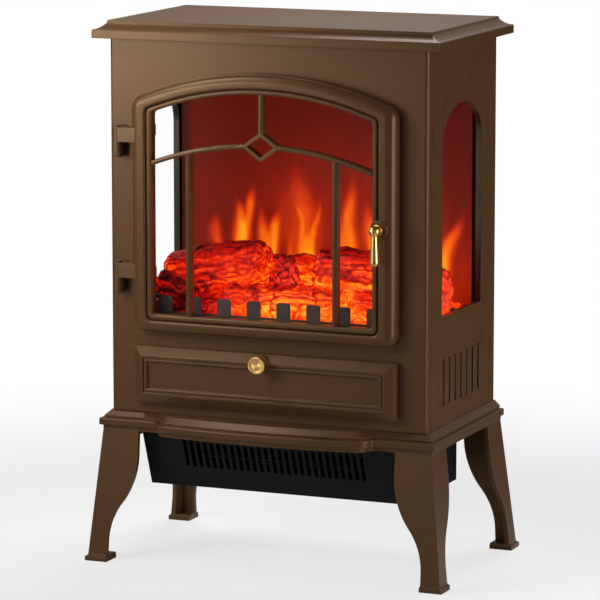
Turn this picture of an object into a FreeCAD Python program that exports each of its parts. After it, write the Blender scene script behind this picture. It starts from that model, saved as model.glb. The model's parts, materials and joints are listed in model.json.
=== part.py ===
import FreeCAD, Part
import math
import os
from FreeCAD import Vector

# Driving sizes in millimetres. X runs to the right, Y to the rear, Z up.
# The origin is on the floor, under the middle of the whole stove.

# Case
body_width = 362.0
body_depth = 207.0
body_height = 401.5
sheet = 2.4
front_return = 11.5
seam_width = 1.8
seam_depth = 1.0
rear_line_inset = 15.5
front_corner = 4.0
back_sheet = 2.0
rear_flange = 12.0

# Top plate
top_height = 18.5
top_overhang = 15.9
top_setback = 5.0
top_face_overhang = 3.0
top_band = 9.2
top_round = 1.5
top_step = 3.0
top_step_width = 0.8
top_flat = 4.0
top_flat_rise = 0.4
top_cove = 0.4
top_rim = 12.0
top_skin = 6.0

# Plinth and its bowed lip
plinth_height = 21.0
plinth_overhang = 11.7
plinth_rim_overhang = 8.3
plinth_rear_overhang = 1.5
plinth_setback = 3.0
plinth_slope = 6.2
plinth_shelf = 7.4
plinth_riser = 2.3
plinth_riser_undercut = 1.0
plinth_band = 8.0
plinth_band_round = 1.6
plinth_ledge = 1.0
plinth_skin = 4.0
plinth_wall = 6.0
lip_margin = 52.0
lip_hollow = 6.0
lip_nose = 5.0
lip_turn = 80.0
lip_bow_angle = 8.0

# Legs
leg_height = 144.0
leg_width = 41.5
leg_ankle = 22.2
leg_wall = 5.0
leg_flange = 4.0
knee_height = 118.0
ankle_height = 20.0
knee_share = 0.55
foot_height = 6.5
foot_edge = 4.5
foot_heel = 0.5
foot_toe = 2.8
side_foot_reach = 25.0
front_foot_reach = 23.0
rear_foot_reach = 18.0
rear_leg_reach = 0.0
leg_screw_inset = 14.0
leg_screw_room = 2.0
leg_screw_bite = 9.5

# Control flap
flap_margin = 32.0
flap_rise = 12.85
flap_height = 60.9
flap_edge = 9.5
flap_bevel = 8.7
flap_relief = 15.5
flap_bead = 7.4
flap_groove = 1.6
flap_groove_depth = 1.6
flap_field_depth = 3.5
flap_round = 1.4
flap_skin = 2.5
flap_back_rim = 12.0
flap_pin_radius = 1.5
flap_pin_length = 50.0
flap_pin_setback = 3.0
flap_pin_rise = 3.2
flap_lug_width = 8.0
flap_lug_radius = 2.6
flap_lug_inset = 40.0
flap_lug_room = 0.5
panel_gap = 0.5

# Flap knob
knob_drop = 9.2
knob_boss_radius = 9.0
knob_radius = 9.5
knob_length = 14.0
knob_waist = 3.6
knob_base = 5.0
knob_rim = 1.9
knob_waist_rise = 4.2
knob_neck = 5.7
knob_neck_rise = 8.1
knob_dish = 1.2
knob_bite = 7.0
knob_screw_radius = 1.5

# Door
door_margin = 31.0
door_gap = 15.85
door_top_gap = 31.0
door_thickness = 18.0
door_arch_rise = 31.3
door_shoulder = 15.0
door_foot = 14.0
door_rail = 24.5
door_top_share = 0.865
door_bottom_rail = 20.4
door_bead = 7.0
door_bead_drop = 1.5
door_groove = 0.8
door_groove_depth = 5.0
door_groove_round = 7.0
door_roll_round = 10.0
door_roll_inner_round = 2.4
door_bead_round = 2.2
door_opening_round = 5.0
glass_sheet = 3.0
glass_lap = 4.0
glass_room = 0.3
clip_sheet = 1.2
clip_width = 12.0
clip_lap = 3.0
clip_reach = 10.0
clip_wall = 3.0
clip_screw_room = 0.4
small_screw_length = 4.0
panel_opening_inset = 12.5
panel_opening_bottom_inset = 8.0

# Tracery
bar_width = 5.2
bar_depth = 10.5
bar_crown = 1.2
bar_to_glass = 0.5
bar_over_angle = 3.0
tracery_drop = 54.7
tracery_rise = 22.6
diamond_width = 43.0
diamond_height = 31.0
diamond_bar = 3.6
mullion_share = 0.665

# Hinges
hinge_margin = 13.0
hinge_standoff = 8.0
knuckle_radius = 6.3
knuckle_length = 15.5
hinge_pin_radius = 2.0
hinge_low_rise = 57.5
hinge_high_drop = 77.8
hinge_split = 0.2
strap_thickness = 4.0
strap_rise = 9.5
strap_bite = 8.0
lug_width = 7.0
pin_head_radius = 3.2
pin_head_height = 1.6

# Drop handle
handle_inset = 16.5
handle_rise = 125.4
rosette_radius = 10.0
rosette_height = 1.5
handle_reach = 30.5
handle_ball = 6.0
handle_neck = 4.2
handle_spindle = 2.5
drop_length = 37.4
drop_top_radius = 3.0
drop_end_radius = 4.8
handle_screw_head = 3.0
handle_screw_shank = 1.2
handle_screw_length = 6.0
handle_pocket_depth = 3.0
handle_end_room = 0.3
handle_collar = 3.0
handle_collar_radius = 6.0

# Door magnet
magnet_width = 8.0
magnet_height = 16.0
magnet_depth = 8.0
magnet_drop = 105.0
magnet_flange = 6.0
keeper_sheet = 1.2

# Controls behind the flap
control_rim = 16.0
control_top_rim = 9.3
control_bottom_rim = 10.0
tray_wall = 2.4
tray_depth = 15.0
tray_margin = 7.0
dial_margin = 49.0
thermostat_radius = 14.0
dimmer_radius = 10.0
dial_height = 11.0
dial_lift = 0.5
dial_skirt = 3.3
dial_flutes = 18
dial_flute_share = 0.08
dial_crown_share = 0.82
dial_pointer = 1.0
shaft_radius = 3.0
shaft_depth = 8.0
dial_body_depth = 24.0
rocker_pitch = 28.0
rocker_width = 10.8
rocker_height = 16.4
rocker_depth = 3.2
rocker_dip = 1.2
rocker_tilt = 8.0
rocker_pin = 1.2
switch_width = 15.0
switch_height = 21.0
switch_lip = 2.4
switch_depth = 18.0
switch_room = 0.35
switch_wall = 1.2
switch_end_room = 1.2
switch_end_wall = 0.7
rocker_stub = 0.7

# Side windows
window_margin = 43.5
window_rise = 116.0
window_top_gap = 63.0
window_arch_rise = 27.1
window_shoulder = 35.0
window_foot = 3.0
window_reveal = 7.0
window_ring = 2.0
vent_count = 7
vent_pitch = 17.6
vent_width = 4.5
vent_height = 51.0
vent_rise = 20.5
line_width = 1.2
line_depth = 0.5
line_outset = 7.0
arch_line_outset = 17.0
line_rise = 15.0
line_top_gap = 31.5
keystone_half = 7.0
keystone_height = 11.0
side_clip_sheet = 1.5

# Fire display
deck_rise = 3.4
deck_sheet = 2.0
deck_flange = 12.0
ceiling_drop = 14.0
screen_gap = 45.25
screen_sheet = 2.5
rail_width = 10.0
rail_depth = 8.5
rail_groove = 6.0
screen_side_room = 1.0
ember_margin = 28.6
ember_right_margin = 12.6
ember_front = 31.75
ember_rear = 12.0
ember_height = 24.0
ember_wall = 4.0
# Each log: one end and the other, from the middle of the ember slab's top, and its radii.
log_places = [
    ((-146, -23, 21), (-28, -9, 40), (24, 29, 30, 27)),
    ((-4, -40, 32), (8, 30, 16), (22, 27, 25)),
    ((26, -17, 36), (146, -13, 30), (27, 30, 29, 25)),
    ((-114, 37, 18), (163, 36, 14), (22, 25, 25, 21)),
    ((-148, -49, 6), (-88, -45, 10), (13, 15, 13)),
    ((-72, -44, 4), (74, -43, 6), (15, 17, 18, 15)),
    ((78, -45, 6), (147, -47, 8), (14, 16, 14)),
    ((158, -40, 3), (156, 22, 5), (13, 16, 14)),
]
grate_teeth = 8
grate_end_room = 1.0
grate_round = 3.0
grate_tooth_width = 15.5
grate_tooth_height = 17.0
grate_strip = 17.5
grate_sheet = 1.5
grate_setback = 4.0
grate_foot = 10.0
spindle_setback = 21.0
spindle_rise = 27.0
spindle_radius = 14.0
spindle_rod = 2.0
spindle_margin = 40.6
bracket_gap = 5.0
spindle_tail = 6.0
spindle_end_room = 0.2
petal_count = 12
petal_width = 14.0
petal_sheet = 0.8
petal_turn = 50.0
bracket_sheet = 2.0
bracket_width = 18.0
motor_radius = 14.0
motor_length = 22.0
board_sheet = 1.6
chip_size = 5.0
chip_height = 1.2
ember_board_margin = 40.0
ember_board_depth = 60.0
flame_board_depth = 16.0
ember_chips = 6
flame_chips = 8

# Heater under the plinth
heater_margin = 31.0
heater_drop = 64.0
heater_sheet = 1.6
heater_front_inset = 8.75
heater_room = 1.0
heater_slant = 25.0
heater_rear_margin = 31.25
heater_flange = 12.0
heater_flange_margin = 55.0
heater_screw_inset = 7.0
slot_count = 27
slot_pitch = 7.85
slot_width = 4.2
slot_rise = 24.0
slot_head = 4.0
intake_count = 13
intake_pitch = 20.0
intake_width = 6.0
intake_height = 36.0
blower_setback = 52.0
blower_rise = 38.0
blower_radius = 22.0
blower_left_margin = 55.0
blower_right_margin = 75.0
blower_blades = 20
blade_sheet = 0.8
blade_width = 6.0
blade_inset = 0.5
disc_sheet = 1.2
blower_shaft = 2.5
housing_gap = 4.0
housing_sheet = 1.2
housing_wing = 32.0
end_gap = 2.8
stack_gap = 9.0
stack_length = 16.0
stack_half = 22.0
shaft_tail = 14.0
shaft_end = 2.0
mouth_setback = 5.2
coil_over = 4.0
coil_rise = 5.0
post_radius = 3.0
post_spread = 17.6
element_margin = 38.0
element_depth = 20.0
element_setback = 39.5
element_sheet = 1.5
rod_count = 4
rod_pitch = 14.0
rod_radius = 3.0
rod_rise = 18.0
rod_over = 6.0
cutout_radius = 8.0
cutout_height = 8.0
cutout_offset = 60.0

# Rear fittings and fasteners
gland_side = 50.0
gland_rise = 28.0
gland_bore = 3.6
gland_radius = 8.0
gland_flange = 11.0
gland_flange_height = 3.0
gland_length = 14.0
back_vent_rows = 7
back_vent_pitch = 9.0
back_vent_length = 90.0
back_vent_height = 4.0
back_vent_drop = 60.0
screw_head = 3.4
screw_head_height = 2.0
screw_shank = 1.5
screw_slot = 0.9
screw_slot_reach = 2.0
screw_slot_depth = 0.9
back_screw_rows = 4
back_screw_inset = 30.0
small_head = 2.4
small_head_height = 0.7
small_shank = 1.1

# Fits
running = 0.05
slip = 0.2
end_room = 1.0

# Levels and planes that follow from the driving sizes
half = body_width / 2
plinth_bottom = leg_height
body_bottom = plinth_bottom + plinth_height
body_top = body_bottom + body_height
top_face = body_top + top_height
handle_front = handle_reach + handle_ball
body_front = handle_front - (body_depth + handle_front + rear_foot_reach) / 2
body_back = body_front + body_depth
body_mid = (body_front + body_back) / 2
plinth_front = body_front + plinth_setback
inner_half = half - sheet
panel_rear = body_front + sheet
back_inner = body_back - back_sheet

flap_half = half - flap_margin
flap_bottom = body_bottom + flap_rise
flap_top = flap_bottom + flap_height
flap_back = body_front - panel_gap
flap_axis_y = flap_back - flap_pin_setback
flap_axis_z = flap_bottom + flap_pin_rise

door_half = half - door_margin
door_bottom = flap_top + door_gap
door_apex = body_top - door_top_gap
door_back = body_front - panel_gap
door_crest = door_back - door_thickness
door_bead_front = door_crest + door_bead_drop
door_crown = (door_half ** 2 + door_arch_rise ** 2) / (2 * door_arch_rise)
opening_half = door_half - door_rail
opening_apex = door_apex - door_top_share * door_rail
opening_bottom = door_bottom + door_bottom_rail
glass_back = door_back - 2 * clip_sheet
glass_front = glass_back - glass_sheet
hinge_x = -(half - hinge_margin)
hinge_y = body_front - hinge_standoff
hinge_levels = (door_bottom + hinge_low_rise, door_apex - hinge_high_drop)
handle_x = door_half - handle_inset
handle_z = door_bottom + handle_rise
rosette_front = door_crest - rosette_height
handle_pocket = door_back - handle_pocket_depth
handle_end = handle_pocket + handle_end_room

deck_top = door_bottom + deck_rise
ceiling_bottom = body_top - ceiling_drop
screen_front = body_back - screen_gap
screen_back = screen_front + screen_sheet
spindle_y = screen_front + spindle_setback
spindle_z = deck_top + spindle_rise
spindle_half = inner_half - spindle_margin
bracket_left = -spindle_half - bracket_gap
bracket_right = spindle_half + bracket_gap
ember_half = inner_half - ember_margin
ember_right = inner_half - ember_right_margin
bed_front = body_front + ember_front
bed_rear = screen_front - ember_rear
bed_mid = (bed_front + bed_rear) / 2
ember_board_half = ember_half - ember_board_margin
pocket_roof = body_bottom - plinth_skin
heater_bottom = plinth_bottom - heater_drop
heater_half = half - heater_margin
heater_front = body_front + heater_front_inset
heater_back = body_back - heater_rear_margin
heater_flange_half = body_depth / 2 - heater_flange_margin
heater_screw_spread = heater_flange_half - heater_screw_inset
blower_y = heater_back - blower_setback
blower_z = heater_bottom + blower_rise
blower_left = -(heater_half - blower_left_margin)
blower_right = heater_half - blower_right_margin
housing_left = blower_left - end_gap
housing_right = blower_right + end_gap
element_half = heater_half - element_margin
element_y = heater_front + element_setback
control_half = flap_half - control_rim
dial_spread = control_half - dial_margin
control_low = flap_bottom + control_bottom_rim
control_high = flap_top - control_top_rim
control_mid = (control_low + control_high) / 2
tray_floor = panel_rear + tray_depth

along_x = Vector(1, 0, 0)
along_y = Vector(0, 1, 0)
along_z = Vector(0, 0, 1)


def box(x0, x1, y0, y1, z0, z1):
    return Part.makeBox(x1 - x0, y1 - y0, z1 - z0, Vector(x0, y0, z0))


def rod(start, axis, length, radius):
    return Part.makeCylinder(radius, length, Vector(*start), axis)


def front_point(u, v):
    return Vector(u, 0, v)


def side_point(u, v):
    return Vector(0, u, v)


def plan_point(u, v):
    return Vector(u, v, 0)


def wire_of(place, start, steps, closed=True):
    # A step is a point to draw a line to, or a pair: a point the arc passes and its end.
    edges = []
    here = start
    for step in steps + ([start] if closed else []):
        arc = isinstance(step[0], tuple)
        there = step[1] if arc else step
        if arc:
            edges.append(Part.Arc(place(*here), place(*step[0]), place(*there)).toShape())
        elif math.dist(here, there) > 1e-6:
            edges.append(Part.LineSegment(place(*here), place(*there)).toShape())
        here = there
    return Part.Wire(edges)


def slab(place, across, low, high, start, steps):
    face = Part.Face(wire_of(place, start, steps))
    face.translate(across * low)
    return face.extrude(across * (high - low))


def front_slab(y0, y1, start, steps):
    return slab(front_point, along_y, y0, y1, start, steps)


def side_slab(x0, x1, start, steps):
    return slab(side_point, along_x, x0, x1, start, steps)


def plan_slab(z0, z1, start, steps):
    return slab(plan_point, along_z, z0, z1, start, steps)


def mirror_x(shape):
    return shape.mirror(Vector(0, 0, 0), along_x)


def turned(profile_start, profile_steps, centre, axis_turn):
    # A solid of revolution about its own Z, then turned to another axis and set in place.
    face = Part.Face(wire_of(front_point, profile_start, profile_steps))
    solid = face.revolve(Vector(0, 0, 0), along_z, 360)
    solid.Placement = FreeCAD.Placement(Vector(*centre), axis_turn)
    return solid


def arch(half_width, bottom, apex, crown, shoulder, foot, centre=0.0):
    # An opening with a segmental head, rounded shoulders and rounded lower corners.
    crown_z = apex - crown
    spring = crown_z + math.sqrt((crown - shoulder) ** 2 - (half_width - shoulder) ** 2)
    lean = math.atan2(spring - crown_z, half_width - shoulder)
    tangent_u = crown * math.cos(lean)
    tangent_v = crown_z + crown * math.sin(lean)
    shoulder_u = half_width - shoulder + shoulder * math.cos(lean / 2)
    shoulder_v = spring + shoulder * math.sin(lean / 2)
    foot_in = foot * (1 - math.sqrt(0.5))
    right = centre + half_width
    left = centre - half_width
    start = (left + foot, bottom)
    steps = [
        (right - foot, bottom),
        ((right - foot_in, bottom + foot_in), (right, bottom + foot)),
        (right, spring),
        ((centre + shoulder_u, shoulder_v), (centre + tangent_u, tangent_v)),
        ((centre, apex), (centre - tangent_u, tangent_v)),
        ((centre - shoulder_u, shoulder_v), (left, spring)),
        (left, bottom + foot),
        ((left + foot_in, bottom + foot_in), start),
    ]
    return start, steps


def door_outline(inset, bottom_inset, shoulder, foot):
    return arch(door_half - inset, door_bottom + bottom_inset, door_apex - door_top_share * inset,
                door_crown - inset, shoulder, foot)


def opening_outline(outset):
    return door_outline(door_rail - outset, door_bottom_rail - outset,
                        door_opening_round + outset, door_opening_round + outset)


def moulded_outline(low, high, corners):
    # A section with the same edge moulding at both ends. The corners run upwards, each with
    # its overhang, its level and, where an arc leads to the next one, a point on that arc.
    steps = []
    for here, there in zip(corners, corners[1:]):
        end = (high + there[0], there[1])
        steps.append(((high + here[2][0], here[2][1]), end) if here[2] else end)
    steps.append((low - corners[-1][0], corners[-1][1]))
    for here, there in zip(corners[::-1], corners[-2::-1]):
        end = (low - there[0], there[1])
        steps.append(((low - there[2][0], there[2][1]), end) if there[2] else end)
    return (high + corners[0][0], corners[0][1]), steps


def screw(place, outward, head, head_height, shank, length):
    # A pan head with a cross slot. The seat of the head is at its place.
    body = Part.makeCylinder(head, head_height, Vector(0, 0, 0), along_z)
    deep = head_height * screw_slot_depth / screw_head_height
    floor = head_height - deep
    reach = head * screw_slot_reach / screw_head
    wide = head * screw_slot / screw_head / 2
    cross = box(-reach, reach, -wide, wide, floor, head_height)
    cross = cross.fuse(box(-wide, wide, -reach, reach, floor, head_height))
    body = body.cut(cross).fuse(Part.makeCylinder(shank, length, Vector(0, 0, 0), -along_z))
    body.Placement = FreeCAD.Placement(Vector(*place), FreeCAD.Rotation(along_z, Vector(*outward)))
    return body


def hole(place, outward, radius, depth, above=0.0):
    axis = Vector(*outward)
    start = Vector(*place) + axis * above
    return Part.makeCylinder(radius, depth + above, start, -axis)


# Case

def make_top_plate():
    flat = top_overhang - top_flat
    lip = top_face_overhang + top_step_width
    shoulder = body_top + top_band
    brow = top_face - top_step
    bow = top_cove * math.sqrt(0.5)
    round_in = top_round * (1 - math.sqrt(0.5))
    corners = [
        (top_overhang, body_top, None),
        (top_overhang, shoulder - top_round, (top_overhang - round_in, shoulder - round_in)),
        (top_overhang - top_round, shoulder, None),
        (flat, shoulder + top_flat_rise, ((flat + lip) / 2 - bow, (shoulder + brow) / 2 - bow)),
        (lip, brow, None),
        (top_face_overhang, top_face, None),
    ]
    reach = body_width + body_depth
    long_way = side_slab(-reach, reach, *moulded_outline(body_front + top_setback,
                                                         body_back - top_setback, corners))
    cross_way = front_slab(-reach, reach, *moulded_outline(-half, half, corners))
    plate = long_way.common(cross_way)
    pocket = box(-half + top_rim, half - top_rim, body_front + top_rim, body_back - top_rim,
                 body_top, top_face - top_skin)
    return plate.cut(pocket)


def make_front_panel():
    rear = body_front + front_return
    outer = box(-half, half, body_front, rear, body_bottom, body_top)
    outer = outer.makeFillet(front_corner, upright_edges(outer, body_front))
    inner = box(-inner_half, inner_half, panel_rear, rear + sheet, body_bottom, body_top)
    inner = inner.makeFillet(max(front_corner - sheet, 0.5), upright_edges(inner, panel_rear))
    panel = outer.cut(inner)
    window = door_outline(panel_opening_inset, panel_opening_bottom_inset, door_shoulder, door_foot)
    panel = panel.cut(front_slab(body_front, panel_rear, *window))
    panel = panel.cut(box(-control_half, control_half, body_front, panel_rear, control_low, control_high))
    room = slip
    pole = box(magnet_x - magnet_width / 2 - room, magnet_x + magnet_width / 2 + room, body_front,
               panel_rear, magnet_z - magnet_height / 2 - room, magnet_z + magnet_height / 2 + room)
    return panel.cut(pole)


def upright_edges(shape, plane_y):
    found = []
    for edge in shape.Edges:
        middle = edge.CenterOfMass
        upright = abs(edge.tangentAt(edge.FirstParameter).z) > 0.99
        if upright and abs(middle.y - plane_y) < 0.01:
            found.append(edge)
    return found


window_half = body_depth / 2 - window_margin
window_bottom = body_bottom + window_rise
window_apex = body_top - window_top_gap
window_crown = (window_half ** 2 + window_arch_rise ** 2) / (2 * window_arch_rise)


def window_outline(outset):
    return arch(window_half + outset, window_bottom - outset, window_apex + outset,
                window_crown + outset, window_shoulder + outset, window_foot + outset, body_mid)


def pressed_line(x0, y0, y1, z0, z1):
    return box(x0, half, y0, y1, z0, z1)


def make_side_panel():
    # The right-hand panel, with its window collar, vents and pressed lines.
    seam = body_front + front_return
    panel = box(inner_half, half, seam, body_back, body_bottom, body_top)
    flange = box(inner_half - rear_flange, inner_half, back_inner - sheet, back_inner,
                 body_bottom, body_top)
    collar = side_slab(half - window_reveal, half, *window_outline(window_ring))
    panel = panel.fuse([flange, collar])
    panel = panel.cut(side_slab(half - window_reveal, half, *window_outline(0.0)))
    low = body_bottom + vent_rise
    cuts = [pressed_line(half - seam_depth, seam, seam + seam_width, body_bottom, body_top)]
    for index in range(vent_count):
        middle = body_mid + (index - (vent_count - 1) / 2) * vent_pitch
        cuts.append(box(inner_half, half, middle - vent_width / 2, middle + vent_width / 2,
                        low, low + vent_height))
    groove = half - line_depth
    edge = window_half + line_outset
    line_low = body_bottom + line_rise
    line_high = body_top - line_top_gap
    for y in (body_mid - edge, body_mid + edge):
        cuts.append(pressed_line(groove, y - line_width / 2, y + line_width / 2, line_low, line_high))
    for z in (line_low, line_high):
        cuts.append(pressed_line(groove, body_mid - edge - line_width / 2, body_mid + edge + line_width / 2,
                                 z - line_width / 2, z + line_width / 2))
    rear_line = body_back - rear_line_inset
    cuts.append(pressed_line(groove, rear_line - line_width, rear_line, body_bottom, body_top))
    for y in (body_mid - keystone_half, body_mid + keystone_half):
        cuts.append(pressed_line(groove, y - line_width / 2, y + line_width / 2,
                                 line_high - keystone_height, line_high))
    band = side_slab(groove, half, *window_outline(arch_line_outset + line_width))
    band = band.cut(side_slab(groove, half, *window_outline(arch_line_outset)))
    spring = window_apex - window_arch_rise
    cuts.append(band.common(pressed_line(groove, body_mid - edge, body_mid + edge, spring, body_top)))
    return panel.cut(cuts).cut([s for side in back_screw_places() for s in side_holes(side)])


def back_screw_places():
    x = inner_half - rear_flange / 2
    span = body_height - 2 * back_screw_inset
    rows = []
    for row in range(back_screw_rows):
        z = body_bottom + back_screw_inset + row * span / (back_screw_rows - 1)
        rows.append((x, body_back, z))
    return rows


def side_holes(place):
    return [hole(place, (0, 1, 0), screw_shank + running, back_sheet + sheet + 1)]


def make_back_panel():
    edge = inner_half - slip
    panel = box(-edge, edge, back_inner, body_back, body_bottom, body_top)
    cuts = [rod((gland_x, back_inner, gland_z), along_y, back_sheet, gland_radius + running)]
    for side in (-1, 1):
        middle = side * (edge / 2)
        for row in range(back_vent_rows):
            z = body_top - back_vent_drop - row * back_vent_pitch
            cuts.append(box(middle - back_vent_length / 2, middle + back_vent_length / 2,
                            back_inner, body_back, z, z + back_vent_height))
    for place in back_screw_places():
        for x in (-place[0], place[0]):
            cuts.append(hole((x, place[1], place[2]), (0, 1, 0), screw_shank + running, back_sheet))
    return panel.cut(cuts)


def make_panel_screws():
    # One kind of screw holds the back panel to the sides and the heater to the plinth.
    screws = []
    length = back_sheet + sheet
    for x, y, z in back_screw_places():
        for side in (-1, 1):
            screws.append(screw((side * x, y, z), (0, 1, 0), screw_head, screw_head_height,
                                screw_shank, length))
    for x, y in heater_screw_places():
        screws.append(screw((x, y, pocket_roof - heater_sheet), (0, 0, -1), screw_head,
                            screw_head_height, screw_shank, length))
    return Part.makeCompound(screws)


gland_x = half - gland_side
gland_z = body_bottom + gland_rise


def make_cord_gland():
    bush = rod((gland_x, body_back, gland_z), along_y, gland_flange_height, gland_flange)
    bush = bush.fuse(rod((gland_x, body_back + gland_flange_height - gland_length, gland_z), along_y,
                         gland_length, gland_radius))
    return bush.cut(rod((gland_x, body_back - gland_length, gland_z), along_y,
                        2 * gland_length, gland_bore))


# Plinth

def plinth_corners():
    # A sloping top, a low undercut riser and a rounded band, from the bottom upwards.
    band_top = body_bottom - plinth_slope - plinth_riser
    band_bottom = band_top - plinth_band
    ease = plinth_band_round
    ease_in = ease * (1 - math.sqrt(0.5))
    return [
        (plinth_rim_overhang, plinth_bottom, None),
        (plinth_rim_overhang, band_bottom, None),
        (plinth_overhang - ease, band_bottom, (plinth_overhang - ease_in, band_bottom + ease_in)),
        (plinth_overhang, band_bottom + ease, None),
        (plinth_overhang, band_top - ease, (plinth_overhang - ease_in, band_top - ease_in)),
        (plinth_overhang - ease, band_top, None),
        (plinth_shelf - plinth_riser_undercut, band_top, None),
        (plinth_shelf, band_top + plinth_riser, None),
        (plinth_ledge, body_bottom, None),
    ]


def lip_path(reach):
    # The front line of the plinth: straight, an S-shaped step, a shallow bow, and back again.
    hollow = plinth_overhang + lip_hollow
    turn = math.radians(lip_turn)
    bow = math.radians(lip_bow_angle)
    begin = half - lip_margin
    hollow_end = (begin - hollow * math.sin(turn), plinth_front - hollow * (1 - math.cos(turn)))
    hollow_mid = (begin - hollow * math.sin(turn / 2), plinth_front - hollow * (1 - math.cos(turn / 2)))
    nose_centre = (hollow_end[0] + lip_nose * -math.sin(turn), hollow_end[1] + lip_nose * math.cos(turn))
    middle = (turn + bow) / 2
    nose_mid = (nose_centre[0] + lip_nose * math.sin(middle), nose_centre[1] - lip_nose * math.cos(middle))
    nose_end = (nose_centre[0] + lip_nose * math.sin(bow), nose_centre[1] - lip_nose * math.cos(bow))
    front = nose_end[1] - nose_end[0] * math.tan(bow / 2)
    start = (-reach, plinth_front)

    def left(point):
        return (-point[0], point[1])

    steps = [
        (-begin, plinth_front),
        (left(hollow_mid), left(hollow_end)),
        (left(nose_mid), left(nose_end)),
        ((0.0, front), nose_end),
        (nose_mid, hollow_end),
        (hollow_mid, (begin, plinth_front)),
        (reach, plinth_front),
    ]
    return start, steps


def make_plinth():
    reach = half + 2 * plinth_overhang
    corners = plinth_corners()
    rear = body_back + plinth_rear_overhang
    start, steps = lip_path(reach)
    path = wire_of(plan_point, start, steps, closed=False)
    path.translate(along_z * body_bottom)
    profile_steps = []
    for here, there in zip(corners, corners[1:]):
        end = (plinth_front - there[0], there[1])
        profile_steps.append(((plinth_front - here[2][0], here[2][1]), end) if here[2] else end)
    profile_steps.append((plinth_front, body_bottom))
    profile_steps.append((plinth_front, plinth_bottom))
    profile = wire_of(side_point, (plinth_front - corners[0][0], corners[0][1]), profile_steps)
    profile.translate(along_x * -reach)
    lip = path.makePipeShell([profile], True, False)
    filler = plan_slab(plinth_bottom, body_bottom, start, steps + [(reach, rear), (-reach, rear)])
    sides = front_slab(body_front - body_depth, rear, *moulded_outline(-half, half, corners))
    plinth = filler.fuse(lip).common(sides)
    corner = leg_width + plinth_wall
    side = half + plinth_rim_overhang - plinth_wall
    front = (plinth_front + heater_front) / 2
    back = body_back - plinth_wall
    pocket = box(-side + corner, side - corner, front, back, plinth_bottom, pocket_roof)
    wide = box(-side, side, front + corner, back - corner, plinth_bottom, pocket_roof)
    cuts = [pocket, wide, heater_space(plinth_bottom, pocket_roof)]
    for x, y in leg_screw_places():
        cuts.append(hole((x, y, plinth_bottom), (0, 0, -1), screw_shank + running, leg_screw_bite + end_room))
    for x, y in heater_screw_places():
        cuts.append(hole((x, y, pocket_roof), (0, 0, -1), screw_shank + running, back_sheet + sheet))
    return plinth.cut(cuts).removeSplitter()


def heater_space(z0, z1):
    wide = heater_half + heater_room
    return box(-wide, wide, heater_front - heater_room, heater_back + heater_room, z0, z1)


# Legs

def leg_outline(top_reach, foot_reach):
    # One elevation of a leg, in distances outwards from the case.
    ankle = foot_reach - foot_toe
    top_in = top_reach - leg_width
    ankle_in = ankle - leg_ankle
    across = ankle_in - top_in
    drop = knee_height - ankle_height
    bend = (across ** 2 + drop ** 2) / (2 * across)
    sweep = math.atan(across / drop)
    knee_bend = knee_share * bend
    shin_bend = bend - knee_bend
    calf = (top_in + knee_share * across, knee_height - knee_share * drop)
    knee = (top_in + knee_bend * (1 - math.cos(sweep)), knee_height - knee_bend * math.sin(sweep))
    shin = (ankle_in - shin_bend * (1 - math.cos(sweep)), ankle_height + shin_bend * math.sin(sweep))
    heel = ankle_in - foot_heel
    start = (foot_reach, 0.0)
    steps = [
        (foot_reach, foot_edge),
        (ankle, foot_height),
        (top_reach, leg_height),
        (top_in, leg_height),
        (top_in, knee_height),
        (knee, calf),
        (shin, (ankle_in, ankle_height)),
        (ankle_in, foot_height),
        (heel, foot_edge),
        (heel, 0.0),
    ]
    return start, steps


def leg_hollow_outline(top_reach, foot_reach):
    ankle = foot_reach - foot_toe
    high = leg_height - leg_flange
    lean = (top_reach - ankle) / (leg_height - foot_height)
    far = -2 * leg_width
    start = (ankle - leg_wall, foot_height)
    steps = [(ankle - leg_wall + lean * (high - foot_height), high), (far, high), (far, foot_height)]
    return start, steps


def shifted(shape, base, sign):
    # An outline in distances outwards, set against one face of the case.
    def place(point):
        return (base + sign * point[0], point[1])
    start, steps = shape
    moved = [(place(s[0]), place(s[1])) if isinstance(s[0], tuple) else place(s) for s in steps]
    return place(start), moved


def make_leg(face_y, sign, top_reach, foot_reach):
    # A right-hand leg, bent from two plates round its outer corner.
    far = body_width + body_depth
    side_shapes = []
    for maker in (leg_outline, leg_hollow_outline):
        across = shifted(maker(plinth_rim_overhang, side_foot_reach), half, 1)
        along = shifted(maker(top_reach, foot_reach), face_y, sign)
        side_shapes.append(front_slab(-far, far, *across).common(side_slab(-far, far, *along)))
    leg = side_shapes[0].cut(side_shapes[1])
    cuts = [hole((x, y, leg_height - leg_flange), (0, 0, -1), screw_shank + running, leg_flange)
            for x, y in leg_screw_places()]
    cuts.append(heater_space(heater_bottom, leg_height))
    return leg.cut(cuts)


def leg_screw_places():
    places = []
    inner = leg_width - leg_screw_inset
    outer = leg_wall + screw_head + leg_screw_room
    faces = ((plinth_front - plinth_rim_overhang, 1), (body_back + rear_leg_reach, -1))
    for side in (-1, 1):
        corner_x = half + plinth_rim_overhang
        for face, inward in faces:
            places.append((side * (corner_x - inner), face + inward * outer))
            places.append((side * (corner_x - outer), face + inward * inner))
    return places


def make_leg_screws():
    seat = leg_height - leg_flange
    length = leg_flange + leg_screw_bite
    return Part.makeCompound([screw((x, y, seat), (0, 0, -1), screw_head, screw_head_height,
                                    screw_shank, length) for x, y in leg_screw_places()])


# Door

magnet_x = door_half - panel_opening_inset / 2
magnet_z = door_apex - magnet_drop


def ring(outer, inner, y0, y1):
    return front_slab(y0, y1, *outer).cut(front_slab(y0, y1, *inner))


def front_face(shape, plane_y):
    for face in shape.Faces:
        middle = face.CenterOfMass
        flat = face.BoundBox.YLength < 1e-4
        if flat and abs(middle.y - plane_y) < 1e-3:
            return face
    return None


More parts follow.
